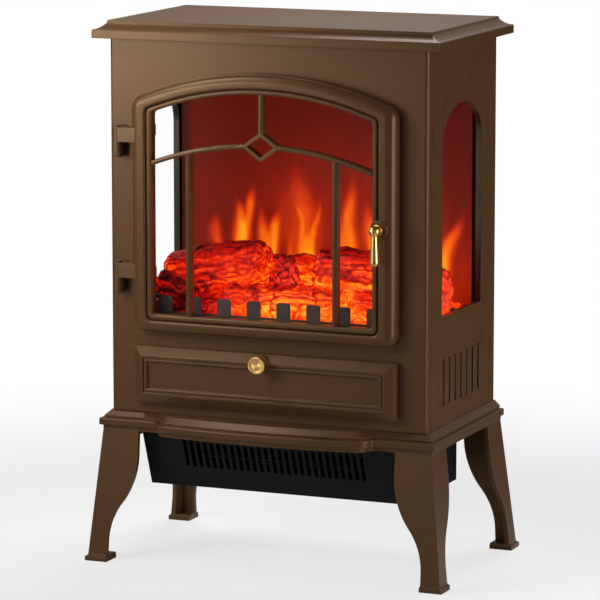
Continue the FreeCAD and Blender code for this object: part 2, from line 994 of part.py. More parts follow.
def rounded_ring(outer, inner, y0, y1, outer_round, inner_round):
    # A frame with its front edges rounded, the outer one first.
    shape = ring(outer, inner, y0, y1)
    face = front_face(shape, y0)
    shape = shape.makeFillet(outer_round, face.OuterWire.Edges)
    face = front_face(shape, y0)
    outer_length = face.OuterWire.Length
    inner_edges = [e for w in face.Wires if abs(w.Length - outer_length) > 1e-6 for e in w.Edges]
    return shape.makeFillet(inner_round, inner_edges)


def make_door_frame():
    roll = door_rail - door_bead
    outer = door_outline(0.0, 0.0, door_shoulder, door_foot)
    groove = door_outline(roll, door_bottom_rail - door_bead, door_groove_round, door_groove_round)
    inset = roll + door_groove
    bead_edge = door_outline(inset, door_bottom_rail - door_bead + door_groove,
                             door_groove_round - door_groove, door_groove_round - door_groove)
    opening = opening_outline(0.0)
    narrow_roll = min(roll, door_bottom_rail - door_bead)
    outer_round = min(door_roll_round, 0.75 * narrow_roll, 0.6 * door_thickness,
                      0.8 * door_shoulder, 0.8 * door_foot)
    inner_round = min(door_roll_inner_round, 0.2 * narrow_roll, 0.3 * door_thickness)
    crest = rounded_ring(outer, groove, door_crest, door_back, outer_round, inner_round)
    bead_round = min(door_bead_round, 0.4 * (door_bead - door_groove))
    bead = rounded_ring(bead_edge, opening, door_bead_front, door_back, bead_round, bead_round)
    base = ring(outer, opening, door_crest + door_groove_depth + door_bead_drop, door_back)
    frame = crest.fuse([bead, base])
    boss_depth = door_crest + door_groove_depth + door_bead_drop - rosette_front
    boss = rod((handle_x, rosette_front, handle_z), along_y, boss_depth, rosette_radius)
    frame = frame.fuse(boss).cut(front_slab(rosette_front, door_back, *opening))
    cuts = [front_slab(glass_front, door_back, *opening_outline(glass_lap))]
    for x, z, across in clip_places():
        cuts.append(clip_box(x, z, across, glass_back, door_back, slip))
        cuts.append(hole(clip_screw_place(x, z, across), (0, 1, 0), small_shank + running,
                         small_screw_length + end_room))
    for split in hinge_levels:
        cuts.append(box(-door_half, -door_half + strap_bite, hinge_y - strap_rise,
                        hinge_y + strap_thickness / 2, split + hinge_split, split + knuckle_length))
    cuts.append(rod((handle_x, rosette_front, handle_z), along_y, door_thickness + rosette_height,
                    handle_spindle + running))
    cuts.append(rod((handle_x, handle_pocket, handle_z), along_y, door_back - handle_pocket,
                    handle_screw_head + 1))
    cuts.append(keeper_box(slip))
    return frame.cut(cuts)


def keeper_box(room):
    wide = magnet_width / 2 + room
    tall = magnet_height / 2 + room
    return box(magnet_x - wide, magnet_x + wide, door_back - keeper_sheet, door_back,
               magnet_z - tall, magnet_z + tall)


def clip_places():
    # Middle of the glass edge at each clip, and which way the clip runs outwards.
    jamb = opening_half + glass_lap
    low = opening_bottom + 0.18 * (opening_apex - opening_bottom)
    high = opening_bottom + 0.82 * (opening_apex - opening_bottom)
    sill = opening_bottom - glass_lap
    return [
        (-jamb, low, (-1, 0)), (-jamb, high, (-1, 0)),
        (jamb, low, (1, 0)), (jamb, high, (1, 0)),
        (-opening_half / 2, sill, (0, -1)), (opening_half / 2, sill, (0, -1)),
    ]


def clip_box(x, z, across, y0, y1, room):
    reach = min(clip_reach, door_bottom_rail - glass_lap - clip_wall) - clip_lap
    ends = sorted((-clip_lap, reach + room))
    side = clip_width / 2 + room
    if across[0]:
        u = sorted((x + across[0] * ends[0], x + across[0] * ends[1]))
        return box(u[0], u[1], y0, y1, z - side, z + side)
    v = sorted((z + across[1] * ends[0], z + across[1] * ends[1]))
    return box(x - side, x + side, y0, y1, v[0], v[1])


def clip_screw_place(x, z, across):
    reach = min(clip_reach, door_bottom_rail - glass_lap - clip_wall) - clip_lap
    out = reach - small_head - clip_screw_room
    return (x + across[0] * out, glass_back + clip_sheet, z + across[1] * out)


def make_glass_clips():
    clips = []
    for x, z, across in clip_places():
        clip = clip_box(x, z, across, glass_back, glass_back + clip_sheet, 0.0)
        clips.append(clip.cut(hole(clip_screw_place(x, z, across), (0, 1, 0),
                                   small_shank + running, 2 * clip_sheet)))
    return Part.makeCompound(clips)


def make_glass_clip_screws():
    return Part.makeCompound([screw(clip_screw_place(x, z, across), (0, 1, 0), small_head,
                                    small_head_height, small_shank, small_screw_length)
                              for x, z, across in clip_places()])


def make_door_glass():
    return front_slab(glass_front, glass_back, *opening_outline(glass_lap - glass_room))


bar_back = glass_front - bar_to_glass
bar_front = bar_back - bar_depth
arc_apex = opening_apex - tracery_drop
arc_radius = (opening_half ** 2 + tracery_rise ** 2) / (2 * tracery_rise)


def bar_profile(wide):
    # Half-round front on a square back, in distances across the bar.
    side = wide / 2
    start = (-side, bar_back)
    steps = [(side, bar_back), (side, bar_front + bar_crown),
             ((0.0, bar_front), (-side, bar_front + bar_crown))]
    return start, steps


def upright_bar(x, z0, z1):
    start, steps = shifted_plan(bar_profile(bar_width), x)
    return plan_slab(z0, z1, start, steps)


def shifted_plan(shape, x):
    start, steps = shape
    moved = []
    for step in steps:
        if isinstance(step[0], tuple):
            moved.append(((step[0][0] + x, step[0][1]), (step[1][0] + x, step[1][1])))
        else:
            moved.append((step[0] + x, step[1]))
    return (start[0] + x, start[1]), moved


def diamond_prism(wide, tall):
    return front_slab(bar_front, bar_back, (-wide / 2, arc_apex),
                      [(0.0, arc_apex - tall / 2), (wide / 2, arc_apex), (0.0, arc_apex + tall / 2)])


def make_door_tracery():
    centre = Vector(0, 0, arc_apex - arc_radius)
    start, steps = bar_profile(bar_width)
    face = Part.Face(wire_of(plan_point, start, steps))
    face.rotate(Vector(0, 0, 0), along_y, 90)
    face.translate(Vector(0, 0, arc_apex))
    swing = math.degrees(math.asin(opening_half / arc_radius)) + bar_over_angle
    face.rotate(centre, along_y, -swing)
    arc_bar = face.revolve(centre, along_y, 2 * swing)
    mullion_x = opening_half * mullion_share
    arc_at_mullion = arc_apex - arc_radius + math.sqrt(arc_radius ** 2 - mullion_x ** 2)
    bars = [upright_bar(0.0, arc_apex, opening_apex + bar_width)]
    for x in (-mullion_x, mullion_x):
        bars.append(upright_bar(x, opening_bottom - bar_width, arc_at_mullion))
    bars = arc_bar.fuse(bars).cut(diamond_prism(diamond_width, diamond_height))
    wall = diamond_bar * math.hypot(diamond_width, diamond_height) / diamond_height
    inner = diamond_prism(diamond_width - 2 * wall, (diamond_width - 2 * wall)
                          * diamond_height / diamond_width)
    bars = bars.fuse(diamond_prism(diamond_width, diamond_height).cut(inner))
    return bars.common(front_slab(bar_front, bar_back, *opening_outline(0.0)))


# Hinges

def make_hinge_straps():
    straps = []
    for split in hinge_levels:
        low = split + hinge_split
        tall = knuckle_length - hinge_split
        knuckle = rod((hinge_x, hinge_y, low), along_z, tall, knuckle_radius)
        strap = box(hinge_x + knuckle_radius / 2, -door_half + strap_bite, hinge_y - strap_rise,
                    hinge_y + strap_thickness / 2, low, low + tall)
        bore = rod((hinge_x, hinge_y, low), along_z, tall, hinge_pin_radius + running)
        straps.append(knuckle.fuse(strap).cut(bore))
    return Part.makeCompound(straps)


def make_hinge_knuckles():
    knuckles = []
    for split in hinge_levels:
        low = split - knuckle_length
        knuckle = rod((hinge_x, hinge_y, low), along_z, knuckle_length, knuckle_radius)
        lug = box(hinge_x - lug_width / 2, hinge_x + lug_width / 2, hinge_y, body_front,
                  low, split)
        bore = rod((hinge_x, hinge_y, low), along_z, knuckle_length, hinge_pin_radius + running)
        knuckles.append(knuckle.fuse(lug).cut(bore))
    return Part.makeCompound(knuckles)


def make_hinge_pins():
    pins = []
    for split in hinge_levels:
        low = split - knuckle_length
        high = split + knuckle_length + hinge_split
        pin = rod((hinge_x, hinge_y, low - pin_head_height), along_z,
                  high - low + 2 * pin_head_height, hinge_pin_radius)
        foot = rod((hinge_x, hinge_y, low - pin_head_height), along_z, pin_head_height, pin_head_radius)
        head = rod((hinge_x, hinge_y, high), along_z, pin_head_height, pin_head_radius)
        pins.append(pin.fuse([foot, head]))
    return Part.makeCompound(pins)


# Drop handle and magnet

def make_drop_handle():
    ball_y = body_front - handle_reach
    collar_y = rosette_front - handle_end_room
    ball = Part.makeSphere(handle_ball, Vector(handle_x, ball_y, handle_z))
    neck = rod((handle_x, ball_y, handle_z), along_y, collar_y - ball_y, handle_neck)
    collar = rod((handle_x, collar_y - handle_collar, handle_z), along_y, handle_collar,
                 handle_collar_radius)
    spindle = rod((handle_x, ball_y, handle_z), along_y, handle_end - ball_y, handle_spindle)
    low = -drop_length + drop_end_radius
    tip = low - drop_end_radius
    bulge = drop_end_radius * math.sqrt(0.5)
    start = (0.0, 0.0)
    steps = [(drop_top_radius, 0.0), (drop_end_radius, low), ((bulge, low - bulge), (0.0, tip))]
    drop = turned(start, steps, (handle_x, ball_y, handle_z), FreeCAD.Rotation())
    handle = ball.fuse([neck, collar, spindle, drop])
    deep = handle_screw_length + end_room
    return handle.cut(rod((handle_x, handle_end - deep, handle_z), along_y, deep,
                          handle_screw_shank + running))


def make_handle_screw():
    return screw((handle_x, handle_end, handle_z), (0, 1, 0), handle_screw_head,
                 screw_head_height, handle_screw_shank, handle_screw_length)


def make_door_magnet():
    wide = magnet_width / 2
    tall = magnet_height / 2
    pole = box(magnet_x - wide, magnet_x + wide, body_front, body_front + magnet_depth,
               magnet_z - tall, magnet_z + tall)
    flange = box(magnet_x - wide, magnet_x + wide, panel_rear, panel_rear + sheet,
                 magnet_z - tall - magnet_flange, magnet_z + tall + magnet_flange)
    return pole.fuse(flange)


def make_door_keeper():
    return keeper_box(0.0)


# Control flap

def flap_border(inset, crest):
    return box(-flap_half + inset, flap_half - inset, crest, crest + flap_groove_depth,
               flap_bottom + inset, flap_top - inset)


def make_control_flap():
    edge = flap_back - flap_edge
    crest = flap_back - flap_relief
    shape_x = [(-flap_half, flap_back), (-flap_half, edge), (-flap_half + flap_bevel, crest),
               (flap_half - flap_bevel, crest), (flap_half, edge), (flap_half, flap_back)]
    shape_z = [(flap_back, flap_bottom), (edge, flap_bottom), (crest, flap_bottom + flap_bevel),
               (crest, flap_top - flap_bevel), (edge, flap_top), (flap_back, flap_top)]
    panel = plan_slab(flap_bottom, flap_top, shape_x[0], shape_x[1:])
    panel = panel.common(side_slab(-flap_half, flap_half, shape_z[0], shape_z[1:]))
    ease = flap_bead + flap_bevel
    field = box(-flap_half + ease, flap_half - ease, crest, crest + flap_field_depth,
                flap_bottom + ease, flap_top - ease)
    panel = panel.cut(field)
    crest_face = front_face(panel, crest)
    panel = panel.makeFillet(min(flap_round, 0.2 * flap_bead), [e for w in crest_face.Wires for e in w.Edges])
    outer = flap_bevel + (flap_bead - flap_groove) / 2
    groove = flap_border(outer, crest).cut(flap_border(outer + flap_groove, crest))
    panel = panel.cut(groove)
    boss = rod((0.0, crest, knob_z), along_y, flap_relief - flap_edge, knob_boss_radius)
    panel = panel.fuse(boss.common(box(-half, half, crest, flap_back, flap_bottom, flap_top)))
    rim = flap_back_rim
    hollow = box(-flap_half + rim, flap_half - rim, crest + flap_field_depth + flap_skin, flap_back,
                 flap_bottom + rim, flap_top - rim)
    heel = box(-flap_half, flap_half, flap_axis_y, flap_back, flap_bottom, flap_axis_z)
    heel = heel.cut(rod((-flap_half, flap_axis_y, flap_axis_z), along_x, 2 * flap_half, flap_pin_rise))
    cuts = [hollow, heel]
    for side in (-1, 1):
        middle = side * (flap_half - flap_lug_inset)
        wide = flap_lug_width / 2 + flap_lug_room
        deep = flap_lug_radius + flap_lug_room
        cuts.append(box(middle - wide, middle + wide, flap_axis_y, flap_back, flap_bottom,
                        flap_axis_z + deep))
        cuts.append(box(middle - wide, middle + wide, flap_axis_y - deep, flap_axis_y, flap_bottom,
                        flap_axis_z))
        cuts.append(rod((middle - wide, flap_axis_y, flap_axis_z), along_x, 2 * wide, deep))
        start = min(side * flap_half, side * (flap_half - flap_pin_length))
        cuts.append(rod((start, flap_axis_y, flap_axis_z), along_x, flap_pin_length,
                        flap_pin_radius + running))
    cuts.append(rod((0.0, crest, knob_z), along_y, flap_relief, knob_screw_radius + running))
    cuts.append(rod((0.0, flap_back - screw_head_height, knob_z), along_y, screw_head_height,
                    screw_head + flap_lug_room))
    return panel.cut(cuts)


knob_z = flap_top - knob_drop


def make_flap_pins():
    pins = []
    for side in (-1, 1):
        start = min(side * flap_half, side * (flap_half - flap_pin_length))
        pins.append(rod((start, flap_axis_y, flap_axis_z), along_x, flap_pin_length, flap_pin_radius))
    return Part.makeCompound(pins)


def make_flap_lugs():
    lugs = []
    for side in (-1, 1):
        middle = side * (flap_half - flap_lug_inset)
        left = middle - flap_lug_width / 2
        right = middle + flap_lug_width / 2
        eye = rod((left, flap_axis_y, flap_axis_z), along_x, flap_lug_width, flap_lug_radius)
        tongue = box(left, right, flap_axis_y, body_front, flap_axis_z - flap_lug_radius,
                     flap_axis_z + flap_lug_radius)
        bore = rod((left, flap_axis_y, flap_axis_z), along_x, flap_lug_width, flap_pin_radius + running)
        lugs.append(eye.fuse(tongue).cut(bore))
    return Part.makeCompound(lugs)


def make_flap_knob():
    # A turned knob with a waist and a dished face, seated on the boss of the flap.
    seat = flap_back - flap_relief
    ease = knob_rim / 2
    start = (0.0, 0.0)
    steps = [(knob_base, 0.0), (knob_waist, knob_waist_rise), (knob_neck, knob_neck_rise),
             (knob_radius, knob_length - 2 * knob_rim + ease), (knob_radius, knob_length - ease),
             (knob_radius - ease, knob_length), (knob_radius - knob_rim, knob_length),
             (knob_radius - 2 * knob_rim, knob_length - knob_dish), (0.0, knob_length - knob_dish)]
    forwards = FreeCAD.Rotation(along_z, -along_y)
    knob = turned(start, steps, (0.0, seat, knob_z), forwards)
    return knob.cut(rod((0.0, seat - knob_bite - end_room, knob_z), along_y, knob_bite + end_room,
                        knob_screw_radius + running))


def make_knob_screw():
    # The head lies in a counterbore in the flap's rear face.
    seat = flap_back - screw_head_height
    length = flap_relief - screw_head_height + knob_bite
    return screw((0.0, seat, knob_z), (0, 1, 0), screw_head, screw_head_height - panel_gap / 2,
                 knob_screw_radius, length)


# Controls

def dial_place(side):
    return side * dial_spread


def make_control_tray():
    outer = box(-control_half - tray_margin, control_half + tray_margin, panel_rear,
                tray_floor + tray_wall, control_low - tray_margin, control_high + tray_margin)
    lip = tray_margin - tray_wall
    inner = box(-control_half - lip, control_half + lip, panel_rear, tray_floor,
                control_low - lip, control_high + lip)
    tray = outer.cut(inner)
    cuts = []
    for side in (-1, 1):
        cuts.append(rod((dial_place(side), tray_floor, control_mid), along_y, tray_wall,
                        shaft_radius + running))
    for x in rocker_places():
        cuts.append(switch_case(x, switch_room / 2))
    return tray.cut(cuts)


def make_dial(side, radius):
    # A fluted knob on its shaft, with a pointer rib across the face.
    x = dial_place(side)
    front = tray_floor - dial_lift - dial_height
    skirt = rod((x, tray_floor - dial_lift - dial_skirt, control_mid), along_y, dial_skirt, radius)
    crown_radius = dial_crown_share * radius
    crown = rod((x, front, control_mid), along_y, dial_height, crown_radius)
    flute = dial_flute_share * radius
    ring_radius = crown_radius + flute / 2
    flutes = []
    for index in range(dial_flutes):
        turn = 2 * math.pi * index / dial_flutes
        flutes.append(rod((x + ring_radius * math.cos(turn), front,
                           control_mid + ring_radius * math.sin(turn)), along_y,
                          dial_height - dial_skirt, flute))
    pointer = box(x - dial_pointer, x + dial_pointer, front - dial_pointer, front,
                  control_mid, control_mid + crown_radius - 2 * flute)
    shaft = rod((x, front, control_mid), along_y,
                dial_height + dial_lift + tray_wall + shaft_depth, shaft_radius)
    return crown.cut(flutes).fuse([skirt, pointer, shaft])


def make_dial_body(side, radius):
    x = dial_place(side)
    back = tray_floor + tray_wall
    body = box(x - radius, x + radius, back, back + dial_body_depth, control_mid - radius,
               control_mid + radius)
    return body.cut(rod((x, back, control_mid), along_y, shaft_depth + running, shaft_radius + running))


def rocker_places():
    return [-rocker_pitch, 0.0, rocker_pitch]


rocker_y = tray_floor - switch_lip + rocker_depth / 2


def switch_case(x, room):
    wide = rocker_width / 2 + switch_room + switch_wall + room
    tall = rocker_height / 2 + switch_end_room + switch_end_wall + room
    return box(x - wide, x + wide, tray_floor, tray_floor + switch_depth, control_mid - tall,
               control_mid + tall)


def make_switch_bodies():
    bodies = []
    for x in rocker_places():
        lip = box(x - switch_width / 2, x + switch_width / 2, tray_floor - switch_lip, tray_floor,
                  control_mid - switch_height / 2, control_mid + switch_height / 2)
        body = lip.fuse(switch_case(x, 0.0))
        wide = rocker_width / 2 + switch_room
        well = rocker_height / 2 + switch_end_room
        body = body.cut(box(x - wide, x + wide, tray_floor - switch_lip, rocker_y + rocker_depth,
                            control_mid - well, control_mid + well))
        body = body.cut(rod((x - wide - rocker_stub - running, rocker_y, control_mid), along_x,
                            2 * (wide + rocker_stub + running),
                            rocker_pin + running))
        bodies.append(body)
    return Part.makeCompound(bodies)


def make_rocker(x):
    # A dished rocker on two stub pins, at rest in its off position.
    tall = rocker_height / 2
    start = (rocker_y, -tall)
    steps = [(rocker_y - rocker_depth, -tall), (rocker_y - rocker_depth + rocker_dip, 0.0),
             (rocker_y - rocker_depth, tall), (rocker_y, tall), (rocker_y + rocker_pin, 0.0)]
    paddle = side_slab(x - rocker_width / 2, x + rocker_width / 2, start, steps)
    stub = rocker_width / 2 + switch_room + rocker_stub
    pins = rod((x - stub, rocker_y, 0.0), along_x, 2 * stub, rocker_pin)
    rocker = paddle.fuse(pins)
    rocker.rotate(Vector(x, rocker_y, 0), along_x, -rocker_tilt)
    rocker.translate(along_z * control_mid)
    return rocker


# Side glass

def make_side_glass():
    seat = half - window_reveal
    return side_slab(seat - glass_sheet, seat, *window_outline(window_ring))


def make_side_glass_clips():
    # Bent clips from the panel to the glass: two on the front edge, one below, one above.
    seat = half - window_reveal - glass_sheet
    lip = seat - side_clip_sheet
    width = clip_width / 2
    edge = body_mid - window_half - window_ring
    clips = []
    span = window_apex - window_bottom
    for z in (window_bottom + 0.2 * span, window_bottom + 0.7 * span):
        out = edge - clip_lap
        clips.append(box(lip, seat, out, edge + clip_lap, z - width, z + width).fuse(
            box(lip, inner_half, out, out + side_clip_sheet, z - width, z + width)))
    for level, sign in ((window_bottom - window_ring, -1), (window_apex + window_ring, 1)):
        out = level + sign * clip_lap
        low, high = sorted((out, level - sign * clip_lap))
        leg_low, leg_high = sorted((out, out - sign * side_clip_sheet))
        clips.append(box(lip, seat, body_mid - width, body_mid + width, low, high).fuse(
            box(lip, inner_half, body_mid - width, body_mid + width, leg_low, leg_high)))
    return Part.makeCompound(clips + [mirror_x(clip) for clip in clips])


# Fire display

def inner_plate(rear, low):
    # A level sheet across the case, notched round the rounded front corners.
    seam = body_front + front_return
    notched = inner_half - front_corner
    plate = box(-inner_half, inner_half, seam, rear, low, low + deck_sheet)
    return plate.fuse(box(-notched, notched, panel_rear, seam, low, low + deck_sheet))


def make_deck():
    deck = inner_plate(back_inner - sheet, deck_top - deck_sheet)
    flanges = []
    for side in (-1, 1):
        u = sorted((side * inner_half, side * (inner_half - deck_sheet)))
        flanges.append(box(u[0], u[1], body_front + front_return, back_inner - sheet,
                           deck_top - deck_flange, deck_top))
    return deck.fuse(flanges)


def make_ceiling_sheet():
    rear = screen_back + rail_depth
    plate = inner_plate(rear, ceiling_bottom)
    flanges = []
    for side in (-1, 1):
        u = sorted((side * inner_half, side * (inner_half - deck_sheet)))
        flanges.append(box(u[0], u[1], body_front + front_return, rear, ceiling_bottom, body_top))
    return plate.fuse(flanges)


screen_half = half - window_reveal - glass_sheet - screen_side_room
screen_low = deck_top + rail_width - rail_groove
screen_high = ceiling_bottom - rail_width + rail_groove


def make_flame_screen():
    return box(-screen_half, screen_half, screen_front, screen_back, screen_low, screen_high)


def make_screen_rails():
    # One channel on the deck and one under the ceiling, in which the screen's edges stand.
    front = (screen_front + screen_back - rail_depth) / 2
    rear = front + rail_depth
    slot = box(-screen_half, screen_half, screen_front, screen_back, screen_low, screen_high)
    low = box(-screen_half, screen_half, front, rear, deck_top, deck_top + rail_width)
    high = box(-screen_half, screen_half, front, rear, ceiling_bottom - rail_width, ceiling_bottom)
    return Part.makeCompound([low.cut(slot), high.cut(slot)])


def log_shape(start, end, radii):
    # A tapering log through a few round sections between its two ends.
    begin = Vector(*start)
    way = Vector(*end) - begin
    wires = []
    for index, radius in enumerate(radii):
        place = begin + way * (index / (len(radii) - 1))
        wires.append(Part.Wire(Part.makeCircle(radius, place, way)))
    return Part.makeLoft(wires, True, False)


def make_log_bed():
    # One hollow moulding: an ember slab with the logs standing in it.
    top = deck_top + ember_height
    bed = box(-ember_half, ember_right, bed_front, bed_rear, deck_top, top)
    logs = [log_shape((x0, bed_mid + y0, top + z0), (x1, bed_mid + y1, top + z1), radii)
            for (x0, y0, z0), (x1, y1, z1), radii in log_places]
    bed = bed.fuse(logs)
    bed = bed.common(box(-ember_half, ember_right, bed_front, bed_rear, deck_top, ceiling_bottom))
    hollow = box(-ember_half + ember_wall, ember_right - ember_wall, bed_front + ember_wall,
                 bed_rear - ember_wall, deck_top, top - ember_wall)
    return bed.cut(hollow)


def make_grate():
    grate_half = door_half - panel_opening_inset - grate_end_room
    pitch = 2 * grate_half / grate_teeth
    front = panel_rear + grate_setback - sheet
    back = front + grate_sheet
    strip_top = deck_top + grate_strip
    tip = strip_top + grate_tooth_height
    parts = [box(-grate_half, grate_half, front, front + grate_foot, deck_top, deck_top + grate_sheet)]
    wide = min(grate_tooth_width, 0.8 * pitch) / 2
    ease = min(grate_round, 0.8 * wide)
    curve = ease * (1 - math.sqrt(0.5))
    for index in range(grate_teeth):
        x = (index - (grate_teeth - 1) / 2) * pitch
        steps = [(x + wide, strip_top), (x + wide, tip - ease),
                 ((x + wide - curve, tip - curve), (x + wide - ease, tip)), (x - wide + ease, tip),
                 ((x - wide + curve, tip - curve), (x - wide, tip - ease))]
        parts.append(front_slab(front, back, (x - wide, strip_top), steps))
    strip = box(-grate_half, grate_half, front, back, deck_top, strip_top)
    return strip.fuse(parts)


def make_flame_spindle():
    # A thin rod with crossed foil petals that step round along it.
    spindle = rod((bracket_left - bracket_sheet, spindle_y, spindle_z), along_x,
                  bracket_right - bracket_left + 2 * bracket_sheet + spindle_tail, spindle_rod)
    step = 2 * spindle_half / petal_count
    petals = []
    for index in range(petal_count):
        x = -spindle_half + (index + 0.5) * step
        petal = box(x - petal_width / 2, x + petal_width / 2, spindle_y - spindle_radius,
                    spindle_y + spindle_radius, spindle_z - petal_sheet / 2, spindle_z + petal_sheet / 2)
        petal.rotate(Vector(x, spindle_y, spindle_z), along_x, index * petal_turn)
        petals.append(petal)
    return spindle.fuse(petals)


def bearing_plate(x):
    plate = box(x, x + bracket_sheet, spindle_y - bracket_width / 2, spindle_y + bracket_width / 2,
                deck_top, spindle_z + bracket_width / 2)
    return plate


def spindle_bore(x, length):
    return rod((x, spindle_y, spindle_z), along_x, length, spindle_rod + running)


def make_spindle_bearing():
    x = bracket_left - bracket_sheet
    foot = box(x - bracket_width / 2, x, spindle_y - bracket_width / 2, spindle_y + bracket_width / 2,
               deck_top, deck_top + bracket_sheet)
    return bearing_plate(x).fuse(foot).cut(spindle_bore(x, bracket_sheet))


def make_spindle_motor():
    x = bracket_right
    can = rod((x + bracket_sheet, spindle_y, spindle_z), along_x, motor_length, motor_radius)
    foot = box(x, x + bracket_width, spindle_y - bracket_width / 2, spindle_y + bracket_width / 2,
               deck_top, deck_top + bracket_sheet)
    deep = bracket_sheet + spindle_tail + spindle_end_room
    return bearing_plate(x).fuse([can, foot]).cut(spindle_bore(x, deep))


def make_light_boards():
    ember = box(-ember_board_half, ember_board_half, bed_mid - ember_board_depth / 2,
                bed_mid + ember_board_depth / 2, deck_top, deck_top + board_sheet)
    reach = spindle_half - bracket_width
    flame = box(-reach, reach, spindle_y - flame_board_depth / 2, spindle_y + flame_board_depth / 2,
                deck_top, deck_top + board_sheet)
    return Part.makeCompound([ember, flame])


def chip(x, y):
    side = chip_size / 2
    base = deck_top + board_sheet
    return box(x - side, x + side, y - side, y + side, base, base + chip_height)


def make_light_chips():
    chips = []
    for index in range(ember_chips):
        x = ember_board_half * ((2 * index + 1) / ember_chips - 1)
        chips.append(chip(x, bed_mid))
    reach = spindle_half - bracket_width
    for index in range(flame_chips):
        chips.append(chip(reach * ((2 * index + 1) / flame_chips - 1), spindle_y))
    return Part.makeCompound(chips)


# Heater

def heater_section(inset):
    slope = math.hypot(heater_slant, heater_drop) / heater_drop
    lean = heater_slant / heater_drop
    front = heater_front + inset
    low = heater_bottom + inset
    foot = heater_front + heater_slant + inset * slope - lean * inset
    knee = plinth_bottom - inset * (slope - 1) / lean
    start = (front, pocket_roof)
    steps = [(front, knee), (foot, low), (heater_back - inset, low), (heater_back - inset, pocket_roof)]
    return start, steps


def make_heater_cover():
    cover = side_slab(-heater_half, heater_half, *heater_section(0.0))
    cover = cover.cut(side_slab(-heater_half + heater_sheet, heater_half - heater_sheet,
                                *heater_section(heater_sheet)))
    flanges = []
    for side in (-1, 1):
        u = sorted((side * heater_half, side * (heater_half + heater_flange)))
        flanges.append(box(u[0], u[1], body_mid - heater_flange_half, body_mid + heater_flange_half,
                           pocket_roof - heater_sheet, pocket_roof))
    cover = cover.fuse(flanges)
    cuts = []
    slot_low = heater_bottom + slot_rise
    for index in range(slot_count):
        x = (index - (slot_count - 1) / 2) * slot_pitch
        cuts.append(box(x - slot_width / 2, x + slot_width / 2, heater_front - heater_sheet,
                        heater_front + heater_slant, slot_low, plinth_bottom - slot_head))
    for index in range(intake_count):
        x = (index - (intake_count - 1) / 2) * intake_pitch
        cuts.append(box(x - intake_width / 2, x + intake_width / 2, heater_back - heater_sheet,
                        heater_back, slot_low, slot_low + intake_height))
    for x, y in heater_screw_places():
        cuts.append(hole((x, y, pocket_roof), (0, 0, 1), screw_shank + running, heater_sheet))
    return cover.cut(cuts)


def heater_screw_places():
    x = heater_half + heater_flange / 2
    return [(side * x, body_mid + along * heater_screw_spread) for side in (-1, 1) for along in (-1, 1)]


def make_blower_wheel():
    shaft = rod((housing_left - housing_sheet - shaft_end, blower_y, blower_z), along_x,
                housing_right + housing_sheet + stack_gap + shaft_tail - housing_left
                + housing_sheet + shaft_end, blower_shaft)
    parts = []
    for x in (blower_left, (blower_left + blower_right - disc_sheet) / 2, blower_right - disc_sheet):
        parts.append(rod((x, blower_y, blower_z), along_x, disc_sheet, blower_radius))
    for index in range(blower_blades):
        tip = blower_z + blower_radius - blade_inset
        blade = box(blower_left, blower_right, blower_y - blade_sheet / 2, blower_y + blade_sheet / 2,
                    tip - blade_width, tip)
        blade.rotate(Vector(0, blower_y, blower_z), along_x, 360 * index / blower_blades)
        parts.append(blade)
    return shaft.fuse(parts)


def make_blower_housing():
    inner = blower_radius + housing_gap
    length = housing_right - housing_left
    drum = rod((housing_left, blower_y, blower_z), along_x, length, inner + housing_sheet)
    drum = drum.cut(rod((housing_left, blower_y, blower_z), along_x, length, inner))
    mouth = box(housing_left, housing_right, blower_y - 2 * inner, blower_y - mouth_setback,
                blower_z - 2 * inner, blower_z + 2 * inner)
    scroll = drum.cut(mouth)
    plates = []
    for x in (housing_left - housing_sheet, housing_right):
        plates.append(box(x, x + housing_sheet, blower_y - housing_wing, blower_y + housing_wing,
                          blower_z - housing_wing, pocket_roof))
    housing = scroll.fuse(plates)
    return housing.cut(rod((housing_left - housing_sheet, blower_y, blower_z), along_x,
                           length + 2 * housing_sheet, blower_shaft + running).cut(
        rod((housing_left, blower_y, blower_z), along_x, length, blower_shaft + 1)))


def make_blower_motor():
    x = housing_right + housing_sheet
    stack = box(x + stack_gap, x + stack_gap + stack_length, blower_y - stack_half, blower_y + stack_half,
                blower_z - stack_half, blower_z + stack_half)
    coil = box(x + stack_gap - coil_over, x + stack_gap + stack_length + coil_over,
               blower_y - stack_half / 2, blower_y + stack_half / 2, blower_z + stack_half / 2,
               blower_z + stack_half + coil_rise)
    posts = [rod((x, blower_y + side * post_spread, blower_z - post_spread), along_x,
                 stack_gap, post_radius) for side in (-1, 1)]
    return stack.fuse([coil] + posts).cut(rod((x, blower_y, blower_z), along_x,
                                              stack_gap + stack_length + coil_over, blower_shaft + running))


def rod_levels():
    return [heater_bottom + rod_rise + index * rod_pitch for index in range(rod_count)]


def make_element_frame():
    front = element_y - element_depth / 2
    back = element_y + element_depth / 2
    low = heater_bottom + rod_rise / 2
    bridge = box(-element_half, element_half, front, back, pocket_roof - element_sheet, pocket_roof)
    plates = []
    for x in (-element_half, element_half - element_sheet):
        plates.append(box(x, x + element_sheet, front, back, low, pocket_roof))
    frame = bridge.fuse(plates)
    return frame.cut([rod((-element_half, element_y, z), along_x, 2 * element_half, rod_radius + running)
                      for z in rod_levels()])


def make_heating_rods():
    over = rod_over
    return Part.makeCompound([rod((-element_half - over, element_y, z), along_x,
                                  2 * (element_half + over), rod_radius) for z in rod_levels()])


def make_thermal_cutout():
    top = pocket_roof - element_sheet
    return rod((cutout_offset, element_y, top - cutout_height), along_z, cutout_height, cutout_radius)


# Every piece under its own name

side_panel = make_side_panel()
side_glass = make_side_glass()
front_leg = make_leg(plinth_front, -1, plinth_rim_overhang, front_foot_reach)
rear_leg = make_leg(body_back, 1, rear_leg_reach, rear_foot_reach)
rockers = [make_rocker(x) for x in rocker_places()]

